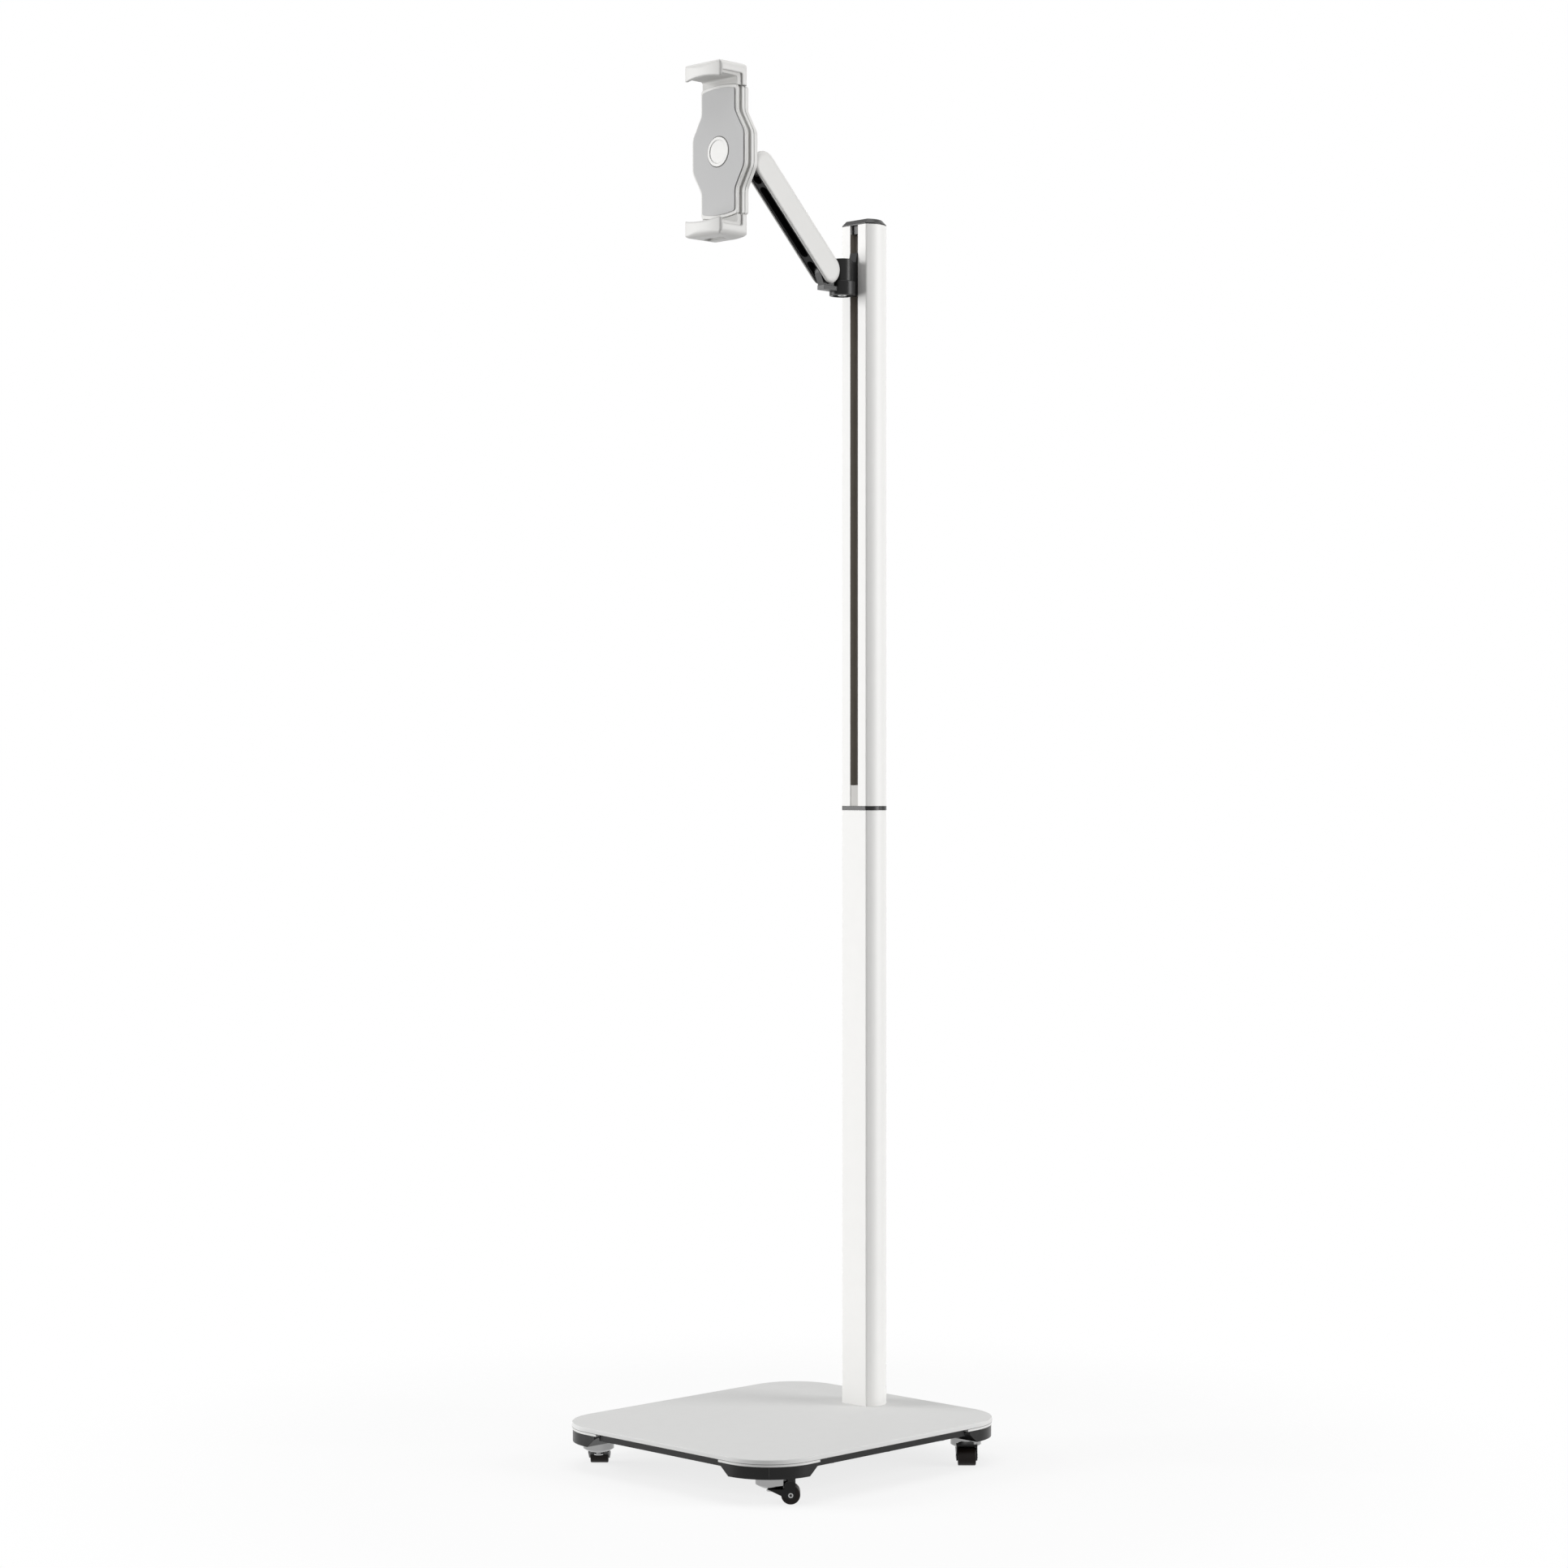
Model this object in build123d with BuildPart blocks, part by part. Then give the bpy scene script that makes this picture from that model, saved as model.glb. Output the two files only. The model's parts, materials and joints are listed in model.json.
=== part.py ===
from build123d import *
import os
from math import cos, radians, sin

os.makedirs("parts", exist_ok=True)

# Adjustable floor stand for a tablet, on four small casters.
# Millimetres. Origin on the floor under the middle of the base plate.
# +Z is up, -Y is the front that the clamp faces, the column stands at +Y.

# Clearances
SEAT_GAP = 0.1
RUN_GAP = 0.05
AIR_GAP = 0.3
PIECE_GAP = 0.5
OVERRUN = 1.0

# Base plate
BASE_WIDTH = 343.0
BASE_DEPTH = 383.0
BASE_CORNER = 60.0
PLATE_THICK = 5.0
PLATE_TOP = 50.4
PLATE_EDGE = 1.1

# Tray under the plate
TRAY_INSET = 6.0
TRAY_HEIGHT = 8.0
TRAY_WALL = 2.4
TRAY_FLOOR = 1.6
BEAD_WIDTH = 9.0
BEAD_DEPTH = 0.8
BEAD_LENGTH = 190.0
BEAD_PITCH = 44.0
BEAD_FRONT = 45.0

# Corner housings and the pale layer over each
HOUSING_REACH = 75.4
HOUSING_CUT = 30.0
HOUSING_FACET = 3.0
HOUSING_INSET = 1.0
HOUSING_HEIGHT = 13.1
HOUSING_SLANT = 14.0
HOUSING_SHOULDER = 1.6
LAYER_THICK = 2.7
LAYER_INSET = 0.5
LAYER_REACH = 76.0

# Casters
SWIVEL_INSET_ACROSS = 36.5
SWIVEL_INSET_ALONG = 40.0
TRAIL = 20.0
WHEEL_RADIUS = 10.0
WHEEL_WIDTH = 19.6
WHEEL_EDGE = 1.1
AXLE_RADIUS = 2.6
AXLE_PROUD = 0.5
DIMPLE_RADIUS = 1.5
DIMPLE_DEPTH = 0.9
BOWL_RADIUS = 17.0
BOWL_DEPTH = 13.1
BOWL_FLAT = 9.8
BOWL_SIDE = 9.2
BOWL_ROUND_SHARE = 0.48
BOWL_RISE_SHARE = 0.42
KING_RADIUS = 3.0
KING_HEAD = 5.2
KING_HEAD_THICK = 1.4
KING_GRIP = 7.0
CROWN_THICK = 1.9
CHEEK_THICK = 1.4
CHEEK_END = 4.9
FORK_NOSE = 4.0
BRIDGE_THICK = 2.2
BRIDGE_GAP = 1.7
BRIDGE_REACH = 5.0

# Screws under the base
SCREW_RADIUS = 2.0
SCREW_HEAD = 3.8
SCREW_HEAD_THICK = 1.6
SCREW_GRIP = 3.4
SCREW_EDGE = 14.0
SCREW_TO_LAYER = 29.5

# Column
COLUMN_INSET = 61.2
COLUMN_RADIUS = 25.0
COLUMN_FLAT = 16.7
COLUMN_CORNER = 3.0
LOWER_WALL = 2.2
UPPER_WALL = 3.4
LOWER_TOP = 720.8
COLLAR_HEIGHT = 4.8
COLLAR_PROUD = 0.15
UPPER_TOP = 1380.3
SLOT_WIDTH = 12.0
CORE_DOWN = 60.0
CORE_BORE = 9.0
FOOT_HEIGHT = 34.0
BOLT_RADIUS = 3.0
BOLT_HEAD = 5.0
BOLT_HEAD_THICK = 3.6
BOLT_HEX = 4.2
BOLT_HEX_DEPTH = 2.2
BOLT_GRIP = 22.0
BOLT_PITCH_X = 22.0
BOLT_PITCH_Y = 13.0
BOLT_SHIFT = 2.5

# Track liner, plug and cap
PLUG_HEIGHT = 23.4
PLUG_SETBACK = 0.5
LINER_SETBACK = 9.0
LINER_THICK = 1.5
LINER_WIDTH = 38.6
LINER_TOP_GAP = 9.6
LEDGE_REACH = 4.0
LEDGE_THICK = 2.0
SLIT_WIDTH = 2.0
SLIT_HEIGHT = 12.0
SLIT_PITCH = 155.4
SLIT_SIDE = 9.6
SLIT_FIRST = 757.8
CAP_HEIGHT = 6.4
CAP_BEVEL = 4.6
CAP_EDGE = 1.4

# Carriage
CARRIAGE_DROP = 79.3
CARRIAGE_HEIGHT = 48.0
NECK_WIDTH = 11.2
TEE_WIDTH = 18.0
TEE_THICK = 4.2
SHOE_WIDTH = 6.0
SHOE_HEIGHT = 13.0
SHOE_END = 2.0
HUB_FORWARD = 36.0
HUB_RISE = 14.0
HUB_RADIUS = 11.5
HUB_HEIGHT = 24.5
HUB_EDGE = 0.8
CUP_RADIUS = 14.4
CUP_HEIGHT = 16.0
CUP_RECESS = 11.0
CUP_RECESS_DEPTH = 5.0
CUP_EDGE = 0.8
HUB_BOLT_RADIUS = 3.0
HUB_BOLT_HEAD = 5.2
HUB_BOLT_HEAD_THICK = 3.4
HUB_BOLT_HEX = 4.6
HUB_BOLT_HEX_DEPTH = 2.0
HUB_BOLT_GRIP = 16.0
WASHER_RADIUS = 9.0
WASHER_THICK = 1.0

# Arm
ELBOW_FORWARD = 28.3
ELBOW_RISE = 24.5
ARM_LENGTH = 144.0
ARM_RISE = 45.0
ARM_RADIUS = 16.4
ARM_WIDTH = 21.0
ARM_EDGE = 5.0
ARM_WALL = 2.5
RIM_DEPTH = 14.4
FRAME_DEPTH = 13.2
FRAME_TOP = 9.0
FRAME_GAP = 0.1
POCKET_WIDTH = 10.4
POCKET_DEPTH = 10.0
LOW_WEB_START = 22.0
LOW_WEB_END = 28.0
HIGH_WEB_START = 126.0
HIGH_WEB_END = 130.0
FORK_GAP_TOP = 12.9
LUG_WIDTH = 9.4
LOW_LUG_RADIUS = 12.6
HIGH_LUG_RADIUS = 10.6
PIN_RADIUS = 3.0
BLOCK_WIDTH = 10.6
BLOCK_RISE = 1.6
BLOCK_HEIGHT = 5.0
BLOCK_AHEAD = 6.0
LEG_AHEAD = 5.5
LEG_BEHIND = 10.0
RIM_OPEN = 12.0

# Turning head
HEAD_PLATE_RADIUS = 15.0
HEAD_PLATE_THICK = 5.0
HEAD_PLATE_SETBACK = 2.4
HEAD_LEG_HALF = 7.0
TURN_NECK_RADIUS = 13.0
TURN_FLANGE_RADIUS = 20.0
TURN_FLANGE_THICK = 3.0
TURN_RECESS_RADIUS = 6.4
TURN_RECESS_DEPTH = 8.0
TURN_BOLT_RADIUS = 3.0
TURN_BOLT_HEAD = 5.4
TURN_BOLT_HEAD_THICK = 4.0

# Clamp
CLAMP_RISE = 7.98
PAD_AHEAD = 39.4
PAD_RAISE = 1.2
BEZEL_THICK = 1.9
GUIDE_THICK = 5.7
MID_THICK = 4.7
BACK_THICK = 6.5
BODY_WIDE = 42.0
BODY_NARROW = 28.0
BODY_HALF = 69.4
WAIST_START = 18.0
WAIST_END = 42.0
WAIST_ROUND = 15.0
BODY_CORNER = 3.0
PAD_MARGIN = 3.0
PAD_END_GAP = 3.4
PAD_ARCH = 2.6
GUIDE_INSET = 2.4
BACK_EDGE = 2.6
MID_EDGE = 0.5

# Button
BUTTON_RADIUS = 16.2
BUTTON_HOLE = 16.9
BUTTON_PROUD = 0.8
BUTTON_THICK = 3.4
BUTTON_RING = 2.6
BUTTON_DISH = 0.7
BUTTON_EDGE = 0.6
BUTTON_TRAVEL = 1.5
STEM_RADIUS = 4.0
STEM_REACH = 5.2

# Jaws, about the clamp's centre height
JAW_WIDTH = 57.7
JAW_BACK_SET = 17.0
JAW_LEG_SET = 5.5
JAW_HOOK = 25.6
JAW_DROP = 3.0
LIP_CORNER = 3.0
JAW_TOP = 96.6
JAW_INNER = 82.3
JAW_SIDE_TOP = 92.4
LIP_THICK = 4.4
LIP_LOW = 75.0
LIP_ARCH = 3.2
JAW_CORNER = 3.4
LINER_PAD_WIDTH = 54.0
LIP_BOW = 2.4
JAW_BACK_ROUND = 9.0
JAW_FRONT_ROUND = 7.0
JAW_SHOULDER = 7.0
JAW_INNER_ROUND = 2.0
LINER_PAD_TOP = 3.2
LINER_PAD_SIDE = 2.9
LINER_PAD_ROUND = 3.0
TONGUE_WIDTH = 30.0
TONGUE_THICK = 2.7
TONGUE_REACH = 50.0
JAW_SLOT_LENGTH = 30.0
JAW_SLOT_WIDTH = 9.0
JAW_SLOT_DEPTH = 5.0
JAW_SPRING_RADIUS = 1.2
JAW_SPRING_SIDE = 9.0
CLAMP_SCREW_X = 19.0
CLAMP_SCREW_Z = 55.0
CLAMP_SCREW_RADIUS = 1.4
CLAMP_SCREW_HEAD = 2.7
CLAMP_SCREW_HEAD_THICK = 1.6
CLAMP_SCREW_GRIP = 7.0

# Heights and places that follow from the sizes above
PLATE_BOTTOM = PLATE_TOP - PLATE_THICK
TRAY_BOTTOM = PLATE_BOTTOM - TRAY_HEIGHT
HOUSING_TOP = PLATE_BOTTOM - LAYER_THICK
HOUSING_BOTTOM = HOUSING_TOP - HOUSING_HEIGHT
BOWL_BOTTOM = HOUSING_BOTTOM - BOWL_DEPTH
CROWN_TOP = BOWL_BOTTOM - AIR_GAP
CROWN_BOTTOM = CROWN_TOP - CROWN_THICK
FORK_WIDTH = WHEEL_WIDTH + 2 * AIR_GAP + 2 * CHEEK_THICK
UPPER_LOW = LOWER_TOP + COLLAR_HEIGHT
SWIVEL_X = BASE_WIDTH / 2 - SWIVEL_INSET_ACROSS
SWIVEL_Y = BASE_DEPTH / 2 - SWIVEL_INSET_ALONG
SCREW_ROW = BASE_DEPTH / 2 - LAYER_REACH - SCREW_TO_LAYER
COLUMN_Y = BASE_DEPTH / 2 - COLUMN_INSET
COLUMN_FRONT = COLUMN_Y - COLUMN_FLAT
CHAMBER_FRONT = COLUMN_FRONT + UPPER_WALL
LINER_FRONT = COLUMN_FRONT + LINER_SETBACK
LINER_BACK = LINER_FRONT + LINER_THICK
PLUG_TOP = UPPER_LOW + PLUG_HEIGHT
LINER_TOP = UPPER_TOP - LINER_TOP_GAP
CARRIAGE_LOW = UPPER_TOP - CARRIAGE_DROP
CARRIAGE_HIGH = CARRIAGE_LOW + CARRIAGE_HEIGHT
HUB_Y = COLUMN_Y - HUB_FORWARD
HUB_LOW = CARRIAGE_LOW + HUB_RISE
CUP_TOP = HUB_LOW - AIR_GAP
CUP_LOW = CUP_TOP - CUP_HEIGHT
CUP_FLOOR = CUP_LOW + CUP_RECESS_DEPTH
BLOCK_LOW = CARRIAGE_LOW + BLOCK_RISE
BLOCK_TOP = BLOCK_LOW + BLOCK_HEIGHT
ELBOW_Y = HUB_Y - ELBOW_FORWARD
ELBOW_Z = CARRIAGE_LOW + ELBOW_RISE
BLOCK_FRONT = ELBOW_Y - BLOCK_AHEAD
LEG_FRONT = ELBOW_Y - LEG_AHEAD
LEG_BACK = ELBOW_Y + LEG_BEHIND
WRIST_Y = ELBOW_Y - ARM_LENGTH * cos(radians(ARM_RISE))
WRIST_Z = ELBOW_Z + ARM_LENGTH * sin(radians(ARM_RISE))
HEAD_PLATE_BACK = -WRIST_Y + ARM_RADIUS + HEAD_PLATE_SETBACK
HEAD_PLATE_FRONT = HEAD_PLATE_BACK + HEAD_PLATE_THICK
CLAMP_Z = WRIST_Z + CLAMP_RISE
PAD_DEPTH = HEAD_PLATE_FRONT + PAD_AHEAD
BEZEL_DEPTH = PAD_DEPTH - PAD_RAISE
JAW_BACK = PAD_DEPTH - JAW_BACK_SET
JAW_LEG_FRONT = PAD_DEPTH - JAW_LEG_SET
JAW_FRONT = PAD_DEPTH + JAW_HOOK
GUIDE_DEPTH = BEZEL_DEPTH - BEZEL_THICK
MID_DEPTH = GUIDE_DEPTH - GUIDE_THICK
BACK_DEPTH = MID_DEPTH - MID_THICK
BODY_BACK = BACK_DEPTH - BACK_THICK
TONGUE_DEPTH = JAW_LEG_FRONT - AIR_GAP
TONGUE_BACK = TONGUE_DEPTH - TONGUE_THICK
JAW_LOW = BODY_HALF + AIR_GAP
TONGUE_END = JAW_LOW - TONGUE_REACH

ARM_PLANE = Plane(
    origin=(0, ELBOW_Y, ELBOW_Z),
    x_dir=(0, -cos(radians(ARM_RISE)), sin(radians(ARM_RISE))),
    z_dir=(-1, 0, 0),
)
SIDE_PLANE = Plane(origin=(0, 0, 0), x_dir=(0, 1, 0), z_dir=(1, 0, 0))
CORNERS = {
    "front_left": (-1, -1, 135.0),
    "front_right": (1, -1, 45.0),
    "rear_left": (-1, 1, 225.0),
    "rear_right": (1, 1, 315.0),
}


def finish(piece, name):
    """Name a finished piece and write it."""
    piece.part.label = name
    export_step(piece.part, f"parts/{name}.step")


def corner_points(signs, pairs):
    """Turn distances in from a base corner into places on the floor plan."""
    return [
        (signs[0] * (BASE_WIDTH / 2 - across), signs[1] * (BASE_DEPTH / 2 - along))
        for across, along in pairs
    ]


def clamp_plane(depth):
    """Plane that faces the front, at a depth ahead of the origin, centred on the clamp."""
    return Plane(origin=(0, -depth, CLAMP_Z), x_dir=(1, 0, 0), z_dir=(0, -1, 0))


def base_outline(inset, mode=Mode.ADD):
    """Rounded rectangle of the base plate, drawn in by an inset."""
    return RectangleRounded(
        BASE_WIDTH - 2 * inset, BASE_DEPTH - 2 * inset, BASE_CORNER - inset, mode=mode
    )


def column_outline(inset, mode=Mode.ADD):
    """D-section of the column, drawn in by an inset, about the column's axis."""
    with BuildSketch(mode=Mode.PRIVATE) as section:
        Circle(COLUMN_RADIUS - inset)
        with Locations((0, (COLUMN_RADIUS - COLUMN_FLAT) / 2)):
            Rectangle(
                2 * COLUMN_RADIUS,
                COLUMN_RADIUS + COLUMN_FLAT - 2 * inset,
                mode=Mode.INTERSECT,
            )
        fillet(section.vertices(), max(COLUMN_CORNER - inset, PLATE_EDGE))
    return add(section.sketch, mode=mode)


# Base plate, with holes for the column's bolts and the screws from below
bolt_places = [
    (side * BOLT_PITCH_X / 2, COLUMN_Y + BOLT_SHIFT + row * BOLT_PITCH_Y / 2)
    for side in (-1, 1)
    for row in (-1, 1)
]
screw_places = [
    (side * (BASE_WIDTH / 2 - SCREW_EDGE), row * SCREW_ROW)
    for side in (-1, 1)
    for row in (-1, 0, 1)
]
with BuildPart() as base_plate:
    with BuildSketch(Plane.XY.offset(PLATE_BOTTOM)):
        base_outline(0)
    extrude(amount=PLATE_THICK)
    fillet(base_plate.faces().sort_by(Axis.Z)[-1].edges(), PLATE_EDGE)
    fillet(base_plate.faces().sort_by(Axis.Z)[0].edges(), PLATE_EDGE / 2)
    with BuildSketch(Plane.XY.offset(PLATE_BOTTOM)):
        with Locations(bolt_places):
            Circle(BOLT_RADIUS)
        with Locations(screw_places):
            Circle(SCREW_RADIUS)
    extrude(amount=SCREW_GRIP, mode=Mode.SUBTRACT)
    with BuildSketch(Plane.XY.offset(PLATE_BOTTOM)):
        with Locations(bolt_places):
            Circle(BOLT_RADIUS)
    extrude(amount=PLATE_THICK, mode=Mode.SUBTRACT)
finish(base_plate, "base_plate")

# Corner layer and corner housing, the same on all four corners
layer_pairs = [
    (0, 0),
    (LAYER_REACH, 0),
    (LAYER_REACH, TRAY_INSET - SEAT_GAP),
    (HOUSING_REACH, TRAY_INSET - SEAT_GAP),
    (HOUSING_REACH, HOUSING_REACH - HOUSING_CUT),
    (HOUSING_REACH - HOUSING_CUT, HOUSING_REACH),
    (TRAY_INSET - SEAT_GAP, HOUSING_REACH),
    (TRAY_INSET - SEAT_GAP, LAYER_REACH),
    (0, LAYER_REACH),
]
housing_pairs = [
    (0, 0),
    (HOUSING_REACH - HOUSING_FACET, 0),
    (HOUSING_REACH - HOUSING_FACET, HOUSING_INSET),
    (HOUSING_REACH, HOUSING_INSET + HOUSING_FACET),
    (HOUSING_REACH, HOUSING_REACH - HOUSING_CUT),
    (HOUSING_REACH - HOUSING_CUT, HOUSING_REACH),
    (HOUSING_INSET + HOUSING_FACET, HOUSING_REACH),
    (HOUSING_INSET, HOUSING_REACH - HOUSING_FACET),
    (0, HOUSING_REACH - HOUSING_FACET),
]
tray_cut = HOUSING_REACH + SEAT_GAP
tray_pairs = [
    (0, 0),
    (tray_cut, 0),
    (tray_cut, tray_cut - HOUSING_CUT),
    (tray_cut - HOUSING_CUT, tray_cut),
    (0, tray_cut),
]

with BuildPart() as corner_layers:
    for side, end, heading in CORNERS.values():
        with BuildSketch(Plane.XY.offset(HOUSING_TOP)):
            Polygon(*corner_points((side, end), layer_pairs), align=None)
            base_outline(LAYER_INSET, mode=Mode.INTERSECT)
        extrude(amount=LAYER_THICK)
finish(corner_layers, "corner_layers")

for corner, (side, end, heading) in CORNERS.items():
    swivel = (side * SWIVEL_X, end * SWIVEL_Y)
    slant_across = BASE_WIDTH / 2 - HOUSING_REACH
    slant_along = BASE_DEPTH / 2 - HOUSING_REACH
    with BuildPart() as corner_housing:
        with BuildSketch(Plane.XY.offset(HOUSING_BOTTOM)):
            Polygon(*corner_points((side, end), housing_pairs), align=None)
            base_outline(HOUSING_INSET, mode=Mode.INTERSECT)
        extrude(amount=HOUSING_HEIGHT)
        # The two ends slant in towards the foot of the housing
        with BuildSketch(Plane.XZ):
            Polygon(
                (side * (slant_across - OVERRUN), HOUSING_TOP - HOUSING_SHOULDER),
                (side * slant_across, HOUSING_TOP - HOUSING_SHOULDER),
                (side * (slant_across + HOUSING_SLANT), HOUSING_BOTTOM),
                (side * (slant_across - OVERRUN), HOUSING_BOTTOM),
                align=None,
            )
        extrude(amount=BASE_DEPTH, both=True, mode=Mode.SUBTRACT)
        with BuildSketch(SIDE_PLANE):
            Polygon(
                (end * (slant_along - OVERRUN), HOUSING_TOP - HOUSING_SHOULDER),
                (end * slant_along, HOUSING_TOP - HOUSING_SHOULDER),
                (end * (slant_along + HOUSING_SLANT), HOUSING_BOTTOM),
                (end * (slant_along - OVERRUN), HOUSING_BOTTOM),
                align=None,
            )
        extrude(amount=BASE_WIDTH, both=True, mode=Mode.SUBTRACT)
        with BuildSketch(Plane.XY.offset(HOUSING_BOTTOM)):
            with Locations(swivel):
                Circle(KING_RADIUS)
        extrude(amount=KING_GRIP, mode=Mode.SUBTRACT)
    finish(corner_housing, f"corner_housing_{corner}")

# Tray under the plate: a floor with a wall, cut back round the corner housings
with BuildPart() as under_tray:
    with BuildSketch(Plane.XY.offset(TRAY_BOTTOM)) as tray_outline:
        Rectangle(BASE_WIDTH - 2 * TRAY_INSET, BASE_DEPTH - 2 * TRAY_INSET)
        for side, end, heading in CORNERS.values():
            Polygon(
                *corner_points((side, end), tray_pairs), align=None, mode=Mode.SUBTRACT
            )
    extrude(amount=TRAY_HEIGHT)
    with BuildSketch(Plane.XY.offset(TRAY_BOTTOM + TRAY_FLOOR)):
        offset(tray_outline.sketch, amount=-TRAY_WALL, kind=Kind.INTERSECTION)
        # Cross rib under the column, and pads that the screws pass through
        with Locations((0, COLUMN_Y + BOLT_SHIFT)):
            Rectangle(BASE_WIDTH, BOLT_PITCH_Y + 4 * BOLT_HEAD, mode=Mode.SUBTRACT)
        with GridLocations(BASE_WIDTH, SCREW_ROW, 1, 3):
            Rectangle(BASE_WIDTH, 4 * SCREW_HEAD, mode=Mode.SUBTRACT)
    extrude(amount=TRAY_HEIGHT, mode=Mode.SUBTRACT)
    with BuildSketch(Plane.XY.offset(TRAY_BOTTOM)):
        with Locations((0, -BEAD_FRONT)):
            with GridLocations(BEAD_PITCH, 0, 5, 1):
                SlotOverall(BEAD_LENGTH, BEAD_WIDTH, rotation=90)
    extrude(amount=BEAD_DEPTH, mode=Mode.SUBTRACT)
    with BuildSketch(Plane.XY.offset(TRAY_BOTTOM)):
        with Locations(bolt_places):
            Circle(BOLT_RADIUS)
        with Locations(screw_places):
            Circle(SCREW_RADIUS)
    extrude(amount=TRAY_HEIGHT, mode=Mode.SUBTRACT)
finish(under_tray, "under_tray")

# Screws that hold the tray, heads below the tray's floor
with BuildPart() as base_screws:
    with BuildSketch(Plane.XY.offset(TRAY_BOTTOM - SCREW_HEAD_THICK)):
        with Locations(screw_places):
            Circle(SCREW_HEAD)
    extrude(amount=SCREW_HEAD_THICK)
    with BuildSketch(Plane.XY.offset(TRAY_BOTTOM)):
        with Locations(screw_places):
            Circle(SCREW_RADIUS)
    extrude(amount=TRAY_HEIGHT + SCREW_GRIP)
    with BuildSketch(Plane.XY.offset(TRAY_BOTTOM - SCREW_HEAD_THICK)):
        with Locations(screw_places):
            RegularPolygon(SCREW_RADIUS, 6)
    extrude(amount=SCREW_HEAD_THICK / 2, mode=Mode.SUBTRACT)
finish(base_screws, "base_screws")

# King pins: each is riveted into its housing and carries one fork
with BuildPart() as caster_pins:
    for side, end, heading in CORNERS.values():
        swivel = (side * SWIVEL_X, end * SWIVEL_Y)
        with BuildSketch(Plane.XY.offset(CROWN_BOTTOM - AIR_GAP - KING_HEAD_THICK)):
            with Locations(swivel):
                Circle(KING_HEAD)
        extrude(amount=KING_HEAD_THICK)
        with BuildSketch(Plane.XY.offset(CROWN_BOTTOM - AIR_GAP)):
            with Locations(swivel):
                Circle(KING_RADIUS)
        extrude(amount=HOUSING_BOTTOM + KING_GRIP - CROWN_BOTTOM + AIR_GAP)
finish(caster_pins, "caster_pins")

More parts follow.
